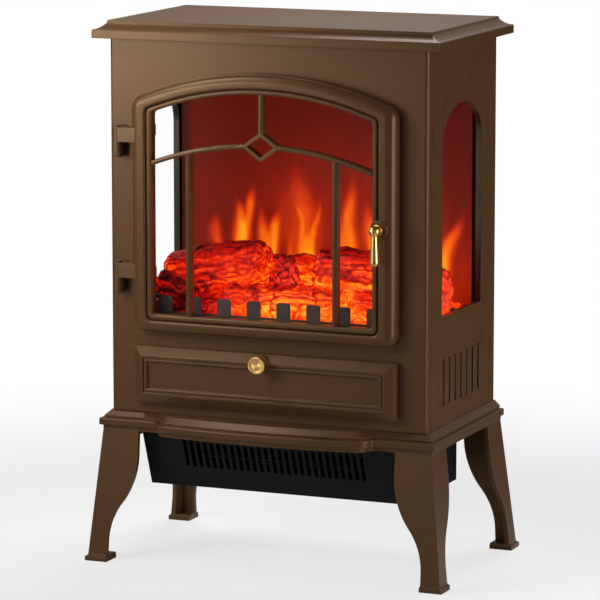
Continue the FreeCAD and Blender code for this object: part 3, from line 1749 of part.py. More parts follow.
pieces = {
    "top_plate": make_top_plate(),
    "front_panel": make_front_panel(),
    "side_panel_left": mirror_x(side_panel),
    "side_panel_right": side_panel,
    "back_panel": make_back_panel(),
    "panel_screws": make_panel_screws(),
    "cord_gland": make_cord_gland(),
    "plinth": make_plinth(),
    "leg_front_left": mirror_x(front_leg),
    "leg_front_right": front_leg,
    "leg_rear_left": mirror_x(rear_leg),
    "leg_rear_right": rear_leg,
    "leg_screws": make_leg_screws(),
    "door_frame": make_door_frame(),
    "door_tracery": make_door_tracery(),
    "door_glass": make_door_glass(),
    "glass_clips": make_glass_clips(),
    "glass_clip_screws": make_glass_clip_screws(),
    "hinge_straps": make_hinge_straps(),
    "hinge_knuckles": make_hinge_knuckles(),
    "hinge_pins": make_hinge_pins(),
    "drop_handle": make_drop_handle(),
    "handle_screw": make_handle_screw(),
    "door_magnet": make_door_magnet(),
    "door_keeper": make_door_keeper(),
    "control_flap": make_control_flap(),
    "flap_pins": make_flap_pins(),
    "flap_lugs": make_flap_lugs(),
    "flap_knob": make_flap_knob(),
    "knob_screw": make_knob_screw(),
    "control_tray": make_control_tray(),
    "thermostat_knob": make_dial(-1, thermostat_radius),
    "thermostat_body": make_dial_body(-1, thermostat_radius),
    "dimmer_knob": make_dial(1, dimmer_radius),
    "dimmer_body": make_dial_body(1, dimmer_radius),
    "switch_bodies": make_switch_bodies(),
    "flame_rocker": rockers[0],
    "low_heat_rocker": rockers[1],
    "high_heat_rocker": rockers[2],
    "side_glass_left": mirror_x(side_glass),
    "side_glass_right": side_glass,
    "side_glass_clips": make_side_glass_clips(),
    "deck": make_deck(),
    "ceiling_sheet": make_ceiling_sheet(),
    "flame_screen": make_flame_screen(),
    "screen_rails": make_screen_rails(),
    "log_bed": make_log_bed(),
    "grate": make_grate(),
    "flame_spindle": make_flame_spindle(),
    "spindle_bearing": make_spindle_bearing(),
    "spindle_motor": make_spindle_motor(),
    "light_boards": make_light_boards(),
    "light_chips": make_light_chips(),
    "heater_cover": make_heater_cover(),
    "blower_wheel": make_blower_wheel(),
    "blower_housing": make_blower_housing(),
    "blower_motor": make_blower_motor(),
    "element_frame": make_element_frame(),
    "heating_rods": make_heating_rods(),
    "thermal_cutout": make_thermal_cutout(),
}

os.makedirs("parts", exist_ok=True)
for name, shape in pieces.items():
    shape.exportStep("parts/" + name + ".step")
    print(name, len(shape.Solids), "solids", round(shape.Volume, 1), "mm3", shape.isValid())
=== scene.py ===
import json
import math

import bpy
import numpy as np
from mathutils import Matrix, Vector, noise


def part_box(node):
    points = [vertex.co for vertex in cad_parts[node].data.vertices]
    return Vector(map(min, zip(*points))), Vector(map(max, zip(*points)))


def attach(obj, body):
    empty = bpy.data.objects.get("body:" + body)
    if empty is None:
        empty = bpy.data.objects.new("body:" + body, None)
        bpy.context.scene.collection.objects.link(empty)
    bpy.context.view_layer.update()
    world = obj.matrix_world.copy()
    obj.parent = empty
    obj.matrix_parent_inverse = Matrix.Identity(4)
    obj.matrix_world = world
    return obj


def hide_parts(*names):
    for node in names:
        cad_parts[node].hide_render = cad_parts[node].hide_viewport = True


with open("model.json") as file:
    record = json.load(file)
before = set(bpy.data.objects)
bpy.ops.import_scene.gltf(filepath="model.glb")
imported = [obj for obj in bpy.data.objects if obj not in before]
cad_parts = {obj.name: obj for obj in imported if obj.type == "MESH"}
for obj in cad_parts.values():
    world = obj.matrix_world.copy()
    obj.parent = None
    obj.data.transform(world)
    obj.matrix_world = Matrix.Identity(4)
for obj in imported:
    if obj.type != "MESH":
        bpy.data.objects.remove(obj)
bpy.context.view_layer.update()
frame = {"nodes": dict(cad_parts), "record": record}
nodes = frame["nodes"]
mm = 0.001
perMetre = 1000  # mm
noise.seed_set(1)  # unseeded, the bark and flames would change at every run
print("frame loaded,", len(nodes), "CAD pieces")


def linear(hexColour):  # sRGB hex to linear
    parts = [int(hexColour[i:i + 2], 16) / 255 for i in (1, 3, 5)]
    return [c / 12.92 if c <= 0.04045 else ((c + 0.055) / 1.055) ** 2.4 for c in parts] + [1.0]


# Sockets are named, or numbered where names repeat: a Map Range has its value at 0, its range at
# 1 and 2 and the new range at 3 and 4; a colour Mix has its share at 0, its colours at 6 and 7 and
# its result at output 2.
def addNode(tree, kind, settings=(), links=()):
    node = tree.nodes.new("ShaderNode" + kind)
    for key, value in dict(settings).items():
        if key == "stops":  # a ramp's places and colours
            marks = node.color_ramp.elements
            for index, (place, colour) in enumerate(value):
                mark = marks[index] if index < len(marks) else marks.new(place)
                mark.position = place
                mark.color = linear(colour)
        elif isinstance(key, int) or key[0].isupper():
            node.inputs[key].default_value = value
        else:
            setattr(node, key, value)
    for key, source in dict(links).items():
        tree.links.new(source, node.inputs[key])
    return node


def startMaterial(name):
    material = bpy.data.materials.new(name)
    material.use_nodes = True
    material.node_tree.nodes.clear()
    return material, material.node_tree


noiseSpan = (0.3, 0.7)  # most values of a noise lie between these
edgeTurn = (0.995, 0.8)  # cosine between true and rounded normal: flat face, bare edge
insideShadeSpan = (-0.03, -0.04)  # metres: from here on a face counts as looking inward


def makeFinish(name, look):
    # colour drift, fine grain, rounded and worn edges: what every solid surface here shares
    material, tree = startMaterial(name)
    place = addNode(tree, "TexCoord").outputs["Object"]
    stretch = addNode(tree, "Mapping", {"Scale": look.get("stretch", (1, 1, 1))},
                      {"Vector": place})
    drift = addNode(tree, "TexNoise", {"Scale": perMetre / look["driftMm"], "Detail": 4.0},
                    {"Vector": place})
    grain = addNode(tree, "TexNoise", {"Scale": perMetre / look["grainMm"], "Detail": 3.0},
                    {"Vector": stretch.outputs[0]})
    rounded = addNode(tree, "Bevel", {"samples": 4, "Radius": look["edgeMm"] * mm})
    facing = addNode(tree, "NewGeometry")
    turn = addNode(tree, "VectorMath", {"operation": "DOT_PRODUCT"},
                   {0: rounded.outputs[0], 1: facing.outputs["Normal"]})
    bare = dict(enumerate((*edgeTurn, 0.0, look["edgeShare"]), 1))
    edge = addNode(tree, "MapRange", bare, {0: turn.outputs["Value"]})
    patchy = addNode(tree, "Math", {"operation": "MULTIPLY"},
                     {0: edge.outputs[0], 1: drift.outputs[0]})
    body = addNode(tree, "Mix", {"data_type": "RGBA", 6: linear(look["base"]),
                                 7: linear(look["second"])}, {0: drift.outputs[0]})
    surfaceColour = addNode(tree, "Mix", {"data_type": "RGBA", 7: linear(look["edge"])},
                   {0: patchy.outputs[0], 6: body.outputs[2]})
    if "inside" in look:  # painted shade: faces that look towards the middle of the case are made dark, for the shade inside the case as well as its dark inside paint
        outward = addNode(tree, "VectorMath", {"operation": "MULTIPLY", 1: (1, 1, 0)}, {0: place})
        inward = addNode(tree, "VectorMath", {"operation": "DOT_PRODUCT"},
                         {0: outward.outputs[0], 1: facing.outputs["Normal"]})
        paintedInsideShade = addNode(tree, "MapRange", dict(enumerate((*insideShadeSpan, 0.0, 1.0), 1)),
                         {0: inward.outputs["Value"]})
        surfaceColour = addNode(tree, "Mix", {"data_type": "RGBA", 7: linear(look["inside"])},
                       {0: paintedInsideShade.outputs[0], 6: surfaceColour.outputs[2]})
    satin = dict(enumerate((*noiseSpan, *look["rough"]), 1))
    gloss = addNode(tree, "MapRange", satin, {0: grain.outputs[0]})
    bump = addNode(tree, "Bump", {"Strength": 1.0, "Distance": look["bumpMm"] * mm},
                   {"Height": grain.outputs[0], "Normal": rounded.outputs[0]})
    shader = addNode(tree, "BsdfPrincipled", look.get("sockets", {}),
                     {"Base Color": surfaceColour.outputs[2], "Roughness": gloss.outputs[0],
                      "Normal": bump.outputs[0]})
    if "spin" in look:  # lathe marks run round this axis
        rings = addNode(tree, "Tangent", {"direction_type": "RADIAL", "axis": look["spin"]})
        tree.links.new(rings.outputs[0], shader.inputs["Tangent"])
    addNode(tree, "OutputMaterial", {}, {"Surface": shader.outputs[0]})
    return material


# Powder-coated steel sheet: a baked satin film, even brown with a faint orange peel.
# The peel is about 1.5 mm in life and drawn at 3 mm so that it shows.
bronzePowderCoat = makeFinish("bronze powder coat on steel sheet", {
    # the inside colour is painted shade on the faces that look into the case
    "base": "#593c22", "second": "#604227", "edge": "#86674d", "inside": "#1b1714",
    "edgeShare": 0.5, "edgeMm": 1.2,
    "driftMm": 90, "grainMm": 3.0, "bumpMm": 0.04, "rough": (0.3, 0.38),
    "sockets": {"Specular IOR Level": 0.5, "Specular Tint": linear("#ffd9b0")}})

# Sprayed moulding: the same brown on injection-moulded parts, a little smoother and softer.
bronzeSprayedMoulding = makeFinish("bronze lacquer on moulded plastic", {
    "base": "#573b23", "second": "#5e4128", "edge": "#9a7c62", "edgeShare": 0.8, "edgeMm": 1.3,
    "driftMm": 70, "grainMm": 2.5, "bumpMm": 0.03, "rough": (0.27, 0.35),
    "sockets": {"Specular IOR Level": 0.5, "Specular Tint": linear("#ffd9b0")}})

# Cast hinges under the same lacquer: darker in the bores and rubbed where the leaves turn.
bronzeCastHinge = makeFinish("bronze lacquer on die-cast zinc", {
    "base": "#553b26", "second": "#64482f", "edge": "#9a7d62", "edgeShare": 0.9, "edgeMm": 0.9,
    "driftMm": 12, "grainMm": 1.8, "bumpMm": 0.05, "rough": (0.26, 0.36),
    "sockets": {"Specular IOR Level": 0.7, "Specular Tint": linear("#ffd9b0")}})

# Turned and lacquered brass: warm gold mirror with the faint rings of the lathe.
turnedBrass = makeFinish("turned lacquered brass", {
    "base": "#f0bf68", "second": "#f7cf83", "edge": "#fbe4ae", "edgeShare": 0.5, "edgeMm": 0.3,
    "driftMm": 9, "grainMm": 1.2, "bumpMm": 0.004, "rough": (0.24, 0.34), "stretch": (1, 1, 6),
    "sockets": {"Metallic": 1.0, "Coat Weight": 0.3, "Coat Roughness": 0.08}})

# Faced brass: fine rings about the knob's middle draw every light out into a bow-tie of gold.
facedBrass = makeFinish("faced lacquered brass", {
    "base": "#f6c46a", "second": "#fbd58c", "edge": "#ffe9b8", "edgeShare": 0.5, "edgeMm": 0.4,
    "driftMm": 6, "grainMm": 1.0, "bumpMm": 0.004, "rough": (0.38, 0.46), "spin": "Y",
    "sockets": {"Metallic": 1.0, "Anisotropic": 0.8, "Coat Weight": 0.15, "Coat Roughness": 0.15}})

# Zinc-plated screws: cool bright grey with a mottled passivated bloom.
zincPlate = makeFinish("zinc-plated steel", {
    "base": "#9a9da0", "second": "#b3b4b0", "edge": "#d4d6d6", "edgeShare": 0.6, "edgeMm": 0.2,
    "driftMm": 4, "grainMm": 1.0, "bumpMm": 0.01, "rough": (0.28, 0.42),
    "sockets": {"Metallic": 1.0}})

# Rolled spring steel: grey, drawn along its length.
springSteel = makeFinish("rolled spring steel", {
    "base": "#7f8285", "second": "#939698", "edge": "#c2c4c5", "edgeShare": 0.5, "edgeMm": 0.25,
    "driftMm": 14, "grainMm": 1.5, "bumpMm": 0.01, "rough": (0.3, 0.45), "stretch": (1, 1, 0.15),
    "sockets": {"Metallic": 1.0}})

# Matt black stove paint: deep neutral black, dusty sheen, grey where an edge is rubbed.
mattBlackPaint = makeFinish("matt black stove paint on steel", {
    "base": "#141415", "second": "#1b1b1c", "edge": "#3c3c3d", "edgeShare": 0.7, "edgeMm": 0.8,
    "driftMm": 60, "grainMm": 2.0, "bumpMm": 0.05, "rough": (0.46, 0.6),
    "sockets": {"Specular IOR Level": 0.2}})

# Grate strip: pressed steel in warm charcoal paint, greyer than the black inside.
charcoalGratePaint = makeFinish("charcoal paint on pressed steel", {
    "base": "#2a1e1b", "second": "#322420", "edge": "#4c3a35", "edgeShare": 0.6, "edgeMm": 0.8,
    "driftMm": 20, "grainMm": 2.0, "bumpMm": 0.05, "rough": (0.55, 0.7),
    "sockets": {"Specular IOR Level": 0.2}})

# Galvanised sheet: pale grey zinc in large soft spangles.
galvanisedSheet = makeFinish("galvanised steel sheet", {
    "base": "#83888b", "second": "#a5abad", "edge": "#c8cccd", "edgeShare": 0.4, "edgeMm": 0.4,
    "driftMm": 11, "grainMm": 5.0, "bumpMm": 0.01, "rough": (0.32, 0.5),
    "sockets": {"Metallic": 1.0}})

# Moulded nylon: matt black with a spark-eroded grain.
mouldedNylon = makeFinish("spark-grained black nylon", {
    "base": "#161617", "second": "#1f1f20", "edge": "#343435", "edgeShare": 0.5, "edgeMm": 0.5,
    "driftMm": 25, "grainMm": 1.4, "bumpMm": 0.06, "rough": (0.5, 0.66)})

# Gloss ABS: polished moulding, deep black with small ripples in its shine.
glossAbs = makeFinish("polished black ABS", {
    "base": "#0f0f10", "second": "#151516", "edge": "#2b2b2d", "edgeShare": 0.4, "edgeMm": 0.4,
    "driftMm": 18, "grainMm": 6.0, "bumpMm": 0.01, "rough": (0.12, 0.2)})

# Mirror foil on the flame spindle: crinkled bright aluminium.
crinkledFoil = makeFinish("crinkled aluminium foil", {
    "base": "#d9dadb", "second": "#eceded", "edge": "#ffffff", "edgeShare": 0.3, "edgeMm": 0.2,
    "driftMm": 15, "grainMm": 7.0, "bumpMm": 0.5, "rough": (0.08, 0.2),
    "sockets": {"Metallic": 1.0}})

# Motor stacks and the fan: stamped steel, dull and slightly oily.
stampedSteel = makeFinish("stamped electrical steel", {
    "base": "#5f6163", "second": "#77797b", "edge": "#a3a5a6", "edgeShare": 0.5, "edgeMm": 0.3,
    "driftMm": 16, "grainMm": 1.2, "bumpMm": 0.02, "rough": (0.34, 0.5),
    "sockets": {"Metallic": 1.0}})

# Circuit board: glass-epoxy under green solder mask, the weave just shows.
solderMask = makeFinish("green solder mask on glass epoxy", {
    "base": "#123a1c", "second": "#184a25", "edge": "#a59a62", "edgeShare": 0.6, "edgeMm": 0.4,
    "driftMm": 20, "grainMm": 1.5, "bumpMm": 0.02, "rough": (0.28, 0.4)})

# Lamp chips: yellow phosphor gel in a white cup, lit warm.
phosphorGel = makeFinish("yellow phosphor gel", {
    "base": "#f0c648", "second": "#f6d978", "edge": "#fbf2d8", "edgeShare": 0.5, "edgeMm": 0.5,
    "driftMm": 3, "grainMm": 1.0, "bumpMm": 0.02, "rough": (0.3, 0.45),
    "sockets": {"Emission Color": linear("#ffb35a"), "Emission Strength": 1.5}})

# Element sheath: nickel steel tube, oxidised straw to blue-grey by its own heat.
oxidisedSheath = makeFinish("heat-oxidised nickel steel", {
    "base": "#2c2a2a", "second": "#4a4138", "edge": "#6d665c", "edgeShare": 0.3, "edgeMm": 0.3,
    "driftMm": 22, "grainMm": 1.5, "bumpMm": 0.02, "rough": (0.36, 0.52),
    "sockets": {"Metallic": 1.0}})
print("solid finishes made")


def makeGlass(look):
    # Toughened float glass: clear, flat and almost without reflection, with a trace of green.
    material, tree = startMaterial("toughened float glass")
    place = addNode(tree, "TexCoord").outputs["Object"]
    wave = addNode(tree, "TexNoise", {"Scale": perMetre / look["waveMm"], "Detail": 1.0},
                   {"Vector": place})
    tint = addNode(tree, "Mix", {"data_type": "RGBA", 6: linear(look["tint"]),
                                 7: linear(look["second"])}, {0: wave.outputs[0]})
    smear = addNode(tree, "MapRange", dict(enumerate((*look["smear"], *look["rough"]), 1)),
                    {0: wave.outputs[0]})
    shader = addNode(tree, "BsdfPrincipled",
                     {"IOR": look["ior"], "Transmission Weight": 1.0,
                      "Specular Tint": linear(look["shine"])},
                     {"Base Color": tint.outputs[2], "Roughness": smear.outputs[0]})
    clear = addNode(tree, "BsdfTransparent")
    lampRay = addNode(tree, "LightPath").outputs["Is Shadow Ray"]  # lamps reach the fire bed
    mix = addNode(tree, "MixShader", {}, {0: lampRay, 1: shader.outputs[0], 2: clear.outputs[0]})
    addNode(tree, "OutputMaterial", {}, {"Surface": mix.outputs[0]})
    return material


# plain float has an index near 1.5; this low one keeps all haze off the panes at a slant
glassLook = {"tint": "#fdfefd", "second": "#ffffff", "waveMm": 140, "smear": (0.35, 0.7),
             "rough": (0.0, 0.01), "shine": "#505050", "ior": 1.001}
floatGlass = makeGlass(glassLook)

mottleSpan = (0.25, 0.75)  # the whole swing of the mottle's noise


def makeGlow(name, look):
    # painted light: light that comes through a coloured moulding or film, by the light level drawn
    # into the mesh; the skin colour follows the same level
    material, tree = startMaterial(name)
    place = addNode(tree, "TexCoord").outputs["Object"]
    lightLevel = addNode(tree, "Attribute", {"attribute_name": "glowLevel"})
    mottle = addNode(tree, "TexNoise", {"Scale": perMetre / look["mottleMm"], "Detail": 4.0},
                     {"Vector": place})
    swing = dict(enumerate((*mottleSpan, -look["mottle"], look["mottle"]), 1))
    shift = addNode(tree, "MapRange", swing, {0: mottle.outputs[0]})
    level = addNode(tree, "Math", {"operation": "ADD"},
                    {0: lightLevel.outputs["Fac"], 1: shift.outputs[0]})
    light = addNode(tree, "ValToRGB", {"stops": look["light"]}, {0: level.outputs[0]})
    skin = addNode(tree, "ValToRGB", {"stops": look["skin"]}, {0: level.outputs[0]})
    satin = dict(enumerate((*noiseSpan, *look["rough"]), 1))
    gloss = addNode(tree, "MapRange", satin, {0: mottle.outputs[0]})
    bump = addNode(tree, "Bump", {"Strength": 1.0, "Distance": look["bumpMm"] * mm},
                   {"Height": mottle.outputs[0]})
    shader = addNode(tree, "BsdfPrincipled",
                     {"Emission Strength": look["strength"], "Specular IOR Level": look["shine"],
                      "Coat Weight": look["coat"], "Coat Roughness": look["coatRough"]},
                     {"Base Color": skin.outputs[0], "Emission Color": light.outputs[0],
                      "Roughness": gloss.outputs[0], "Normal": bump.outputs[0]})
    addNode(tree, "OutputMaterial", {}, {"Surface": shader.outputs[0]})
    return material


# Cast polyester resin: translucent red moulding lit from below, painted bark on its ridges,
# so ridges are maroon, faces red and the thin hollows run to orange and yellow.
emberResin = makeGlow("cast translucent resin with painted bark", {
    "light": [(0.0, "#120103"), (0.2, "#4a0406"), (0.4, "#b00d05"), (0.55, "#e62a06"),
              (0.7, "#fb5a0e"), (0.85, "#ff9a20"), (1.0, "#ffd04a")],
    "skin": [(0.0, "#1a0405"), (0.5, "#5a0c06"), (1.0, "#8c3a10")],
    "mottleMm": 3, "mottle": 0.07, "bumpMm": 0.5, "rough": (0.3, 0.45), "strength": 1.0,
    "shine": 0.04, "coat": 0.05, "coatRough": 0.06})

# Printed polycarbonate film: a matt red screen on which the turning foil throws the flames.
flameFilm = makeGlow("flame screen film, red-dyed polycarbonate", {
    "light": [(0.0, "#180302"), (0.25, "#560f05"), (0.42, "#8c1906"), (0.6, "#d03706"),
              (0.75, "#f56c0b"), (0.88, "#ffa516"), (1.0, "#ffd84a")],
    "skin": [(0.0, "#200504"), (0.5, "#3c0905"), (1.0, "#5a1a08")],
    "mottleMm": 30, "mottle": 0.015, "bumpMm": 0.05, "rough": (0.5, 0.65), "strength": 1.0,
    "shine": 0.05, "coat": 0.0, "coatRough": 0.1})
print("glass and glow finishes made")

slotFinish = {
    "bronze_sheet": bronzePowderCoat, "bronze_moulding": bronzeSprayedMoulding,
    "bronze_hinge": bronzeCastHinge, "brass": turnedBrass, "zinc_screw": zincPlate,
    "spring_steel": springSteel, "clear_glass": floatGlass, "black_sheet": mattBlackPaint,
    "galvanised_sheet": galvanisedSheet, "black_plastic": mouldedNylon,
    "gloss_black_plastic": glossAbs, "flame_film": flameFilm, "ember_resin": emberResin,
    "foil": crinkledFoil, "motor_steel": stampedSteel, "board": solderMask,
    "light_chip": phosphorGel, "element_sheath": oxidisedSheath}
nodeFinish = {"grate": charcoalGratePaint, "flap_knob": facedBrass}
for row in frame["record"]["subparts"]:
    mesh = nodes[row["node"]].data
    mesh.materials.clear()
    mesh.materials.append(nodeFinish.get(row["node"], slotFinish[row["material_slot"]]))
print("finishes put on the CAD pieces")


def newPiece(name, points, faces, finish):
    mesh = bpy.data.meshes.new(name)
    mesh.from_pydata([tuple(p) for p in points], [], faces)
    mesh.validate()
    mesh.materials.append(finish)
    piece = bpy.data.objects.new(name, mesh)
    bpy.context.scene.collection.objects.link(piece)
    return piece


def smoothStep(low, high, value):
    share = np.clip((value - low) / (high - low), 0, 1)
    return share * share * (3 - 2 * share)


def setLightLevel(mesh, lightLevel):
    layer = mesh.attributes.new("glowLevel", "FLOAT", "POINT")
    layer.data.foreach_set("value", lightLevel.astype(np.float32))


# the log and ember moulding: each log by its two ends and its radii, mm from the slab's top middle
logBed = {
    "logs": [((-146, -23, 21), (-28, -9, 40), (24, 29, 30, 27)),
             ((-4, -40, 32), (8, 30, 16), (22, 27, 25)),
             ((26, -17, 36), (146, -13, 30), (27, 30, 29, 25)),
             ((-114, 37, 18), (163, 36, 14), (22, 25, 25, 21)),
             ((-149, -46, 20), (-98, -44, 4), (12, 14, 12)),
             ((-72, -44, 4), (74, -43, 6), (15, 17, 18, 15)),
             ((78, -45, 6), (147, -47, 8), (14, 16, 14)),
             ((158, -40, 3), (156, 22, 5), (13, 16, 14))],
    "slab": 24.0, "slabInset": 1.0, "slabLift": 0.5, "skinMm": 1.4, "ringSides": 28, "rings": 26,
    "capShare": 0.45, "tipShare": 0.02, "barkAlongMm": 58, "barkAcrossMm": 8.5, "slabBarkMm": 14.0,
    "warpMm": 13.0, "warp": 0.5, "ridgeMm": 1.6, "crack": (0.02, 0.16), "crackFade": 0.4,
    "crackLumps": 0.3, "lumpMm": 26, "lumpDepthMm": 2.6, "fineMm": 5, "fineDepthMm": 0.6,
    "sinkMm": 1.2, "footMm": (1.0, 6.0), "headroomMm": 2.0}

# painted light of the lamps under the moulding: shares on the scale of its light, and the places
# in mm where they act
# brighter low in the middle and where two logs meet, dimmer on up-facing tops, to the left and on
# the middle log
emberLight = {
    "even": 0.5, "lump": 0.12, "fine": 0.08, "upward": 0.06,
    "crevice": 0.18, "creviceMm": 8.0, "creviceEnds": 0.35,  # warm where two logs meet
    "low": 0.08, "lowZ": (285, 325), "middleX": 45, "middleReach": 85.0,  # lamps under the middle
    "under": 0.14, "underFlake": (0.04, 0.34), "glowBelowMm": 3.5,
    "dimTop": 0.13, "dimTopTurn": (0.45, 0.95), "dimTopLumps": 0.25, "dimTopZ": (286, 318),
    "crack": 0.28, "crossLog": 0.2, "crossLogIndex": 1,
    "dimLeft": 0.4, "dimLeftX": (-45, -125)}


def buildLogBed(look, lightShares):
    low, high = (np.array(c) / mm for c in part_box("log_bed"))
    middle = np.array([0.0, (low[1] + high[1]) / 2, low[2] + look["slab"]])
    points, faces, axes = [], [], []
    sides, rings = look["ringSides"], look["rings"]
    for start, end, radii in look["logs"]:
        a, b = middle + np.array(start), middle + np.array(end)
        along = (b - a) / np.linalg.norm(b - a)
        across = np.cross(along, (0, 0, 1.0))
        across /= np.linalg.norm(across)
        up = np.cross(across, along)
        axes.append((a, b, along, across, up, np.array(radii, float)))
        first = len(points)
        for ring in range(rings):
            share = ring / (rings - 1)
            radius = np.interp(share, np.linspace(0, 1, len(radii)), radii)
            cap = min(share, 1 - share) * np.linalg.norm(b - a) / (look["capShare"] * radius)
            radius *= math.sqrt(max(1 - (1 - min(cap, 1)) ** 2, look["tipShare"]))  # round ends
            for side in range(sides):
                turn = 2 * math.pi * side / sides
                points.append((a + (b - a) * share + across * radius * math.cos(turn)
                               + up * radius * math.sin(turn)) * mm)
        for ring in range(rings - 1):
            for side in range(sides):
                here = first + ring * sides + side
                there = first + ring * sides + (side + 1) % sides
                faces.append((here, there, there + sides, here + sides))
        faces.append(tuple(first + side for side in reversed(range(sides))))
        faces.append(tuple(first + (rings - 1) * sides + side for side in range(sides)))
    first, inset = len(points), look["slabInset"]
    for x in (low[0] + inset, high[0] - inset):
        for y in (low[1] + inset, high[1] - inset):
            for z in (low[2] + look["slabLift"], middle[2]):
                points.append(np.array((x, y, z)) * mm)
    for corners in ((0, 1, 3, 2), (4, 6, 7, 5), (0, 4, 5, 1), (2, 3, 7, 6), (0, 2, 6, 4),
                    (1, 5, 7, 3)):  # the slab under the logs
        faces.append(tuple(first + c for c in corners))
    rough = newPiece("log_bed_rough", points, faces, emberResin)
    skin = rough.modifiers.new("one skin", "REMESH")
    skin.mode = "VOXEL"
    skin.voxel_size = look["skinMm"] * mm
    made = bpy.context.evaluated_depsgraph_get()
    mesh = bpy.data.meshes.new_from_object(rough.evaluated_get(made))
    bpy.data.objects.remove(rough)
    count = len(mesh.vertices)
    place = np.zeros(count * 3, np.float32)
    normal = np.zeros(count * 3, np.float32)
    mesh.vertices.foreach_get("co", place)
    mesh.vertices.foreach_get("normal", normal)
    place = place.reshape(-1, 3).astype(float) / mm
    normal = normal.reshape(-1, 3).astype(float)

    # how far each point is from every log and from the slab
    gaps, local, lift = [], [], []
    for a, b, along, across, up, radii in axes:
        run = (place - a) @ along
        length = np.linalg.norm(b - a)
        share = np.clip(run / length, 0, 1)
        off = place - a - np.outer(share * length, along)
        radius = np.interp(share, np.linspace(0, 1, len(radii)), radii)
        gaps.append(np.linalg.norm(off, axis=1) - radius)
        long, wide = look["barkAlongMm"], look["barkAcrossMm"]
        local.append(np.stack([run / long, (place - a) @ across / wide,
                               (place - a) @ up / wide], 1))
        lift.append(Vector((along[2] / long, across[2] / wide, up[2] / wide)) * lightShares["glowBelowMm"])
    gaps.append(np.maximum(place[:, 2] - middle[2], 0))
    local.append(place / look["slabBarkMm"])
    lift.append(Vector((0, 0, lightShares["glowBelowMm"] / look["slabBarkMm"])))
    gaps = np.array(gaps)
    order = np.sort(gaps, 0)
    nearest = gaps.argmin(0)
    crevice = np.exp(-(np.maximum(order[1], 0) / lightShares["creviceMm"]) ** 2)

    # cracked bark round each log, lumps and fine grit: far holds the way to the nearest flakes
    ridge, above, lump, fine = np.zeros((4, count))
    patternStep = 7.3  # no two logs show the same stretch of bark
    lumpy, gritty = (0.9, 2.0, 3), (0.9, 2.0, 2)  # softness, step and layers of the noise
    for i in range(count):
        p = Vector(place[i])
        q = Vector(local[nearest[i]][i]) + Vector((nearest[i] * patternStep, 0, 0))
        q += noise.noise_vector(p / look["warpMm"]) * look["warp"]
        far = noise.voronoi(q)[0]
        ridge[i] = far[1] - far[0]
        far = noise.voronoi(q + lift[nearest[i]])[0]
        above[i] = far[1] - far[0]
        lump[i] = noise.fractal(p / look["lumpMm"], *lumpy)
        fine[i] = noise.fractal(p / look["fineMm"], *gritty)
    fade, swell = look["crackFade"], look["crackLumps"]
    ridge = (1 - smoothStep(*look["crack"], ridge)) * (fade + (1 - fade)
                                                       * smoothStep(-swell, swell, lump))
    under = (1 - smoothStep(*lightShares["underFlake"], above)) * (1 - ridge)  # thin resin below a flake
    rise = (look["ridgeMm"] * ridge + look["lumpDepthMm"] * lump + look["fineDepthMm"] * fine
            - look["sinkMm"])
    foot = low[2] + np.array(look["footMm"])
    inside = smoothStep(*foot, place[:, 2])  # the foot stays flat on the deck
    moved = place + normal * (rise * inside)[:, None]
    moved = np.clip(moved, low, high + np.array([0, 0, look["headroomMm"]]))
    mesh.vertices.foreach_set("co", (moved * mm).astype(np.float32).ravel())

    upward = normal[:, 2] + lightShares["dimTopLumps"] * lump
    top = smoothStep(*lightShares["dimTopTurn"], upward) * smoothStep(*lightShares["dimTopZ"], place[:, 2])
    lowZone = 1 - smoothStep(*lightShares["lowZ"], place[:, 2])
    sideways = np.exp(-((place[:, 0] - lightShares["middleX"]) / lightShares["middleReach"]) ** 2)
    ends = lightShares["creviceEnds"]
    lightLevel = (lightShares["even"] + lightShares["lump"] * lump + lightShares["fine"] * fine
            + lightShares["crevice"] * crevice * (ends + (1 - ends) * sideways)
            + lightShares["low"] * lowZone * sideways + lightShares["under"] * under * (1 - top)
            - lightShares["upward"] * normal[:, 2] - lightShares["dimTop"] * top - lightShares["crack"] * ridge
            - lightShares["crossLog"] * (nearest == lightShares["crossLogIndex"])
            - lightShares["dimLeft"] * lowZone * smoothStep(*lightShares["dimLeftX"], place[:, 0]))
    setLightLevel(mesh, np.clip(lightLevel, 0, 1))
    for face in mesh.polygons:
        face.use_smooth = True
    mesh.materials.clear()
    mesh.materials.append(emberResin)
    mesh.name = "glowing_logs"
    piece = bpy.data.objects.new("glowing_logs", mesh)
    bpy.context.scene.collection.objects.link(piece)
    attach(piece, "stove")
    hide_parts("log_bed")
    return piece


logs = buildLogBed(logBed, emberLight)
print("logs and embers made,", len(logs.data.vertices), "points")

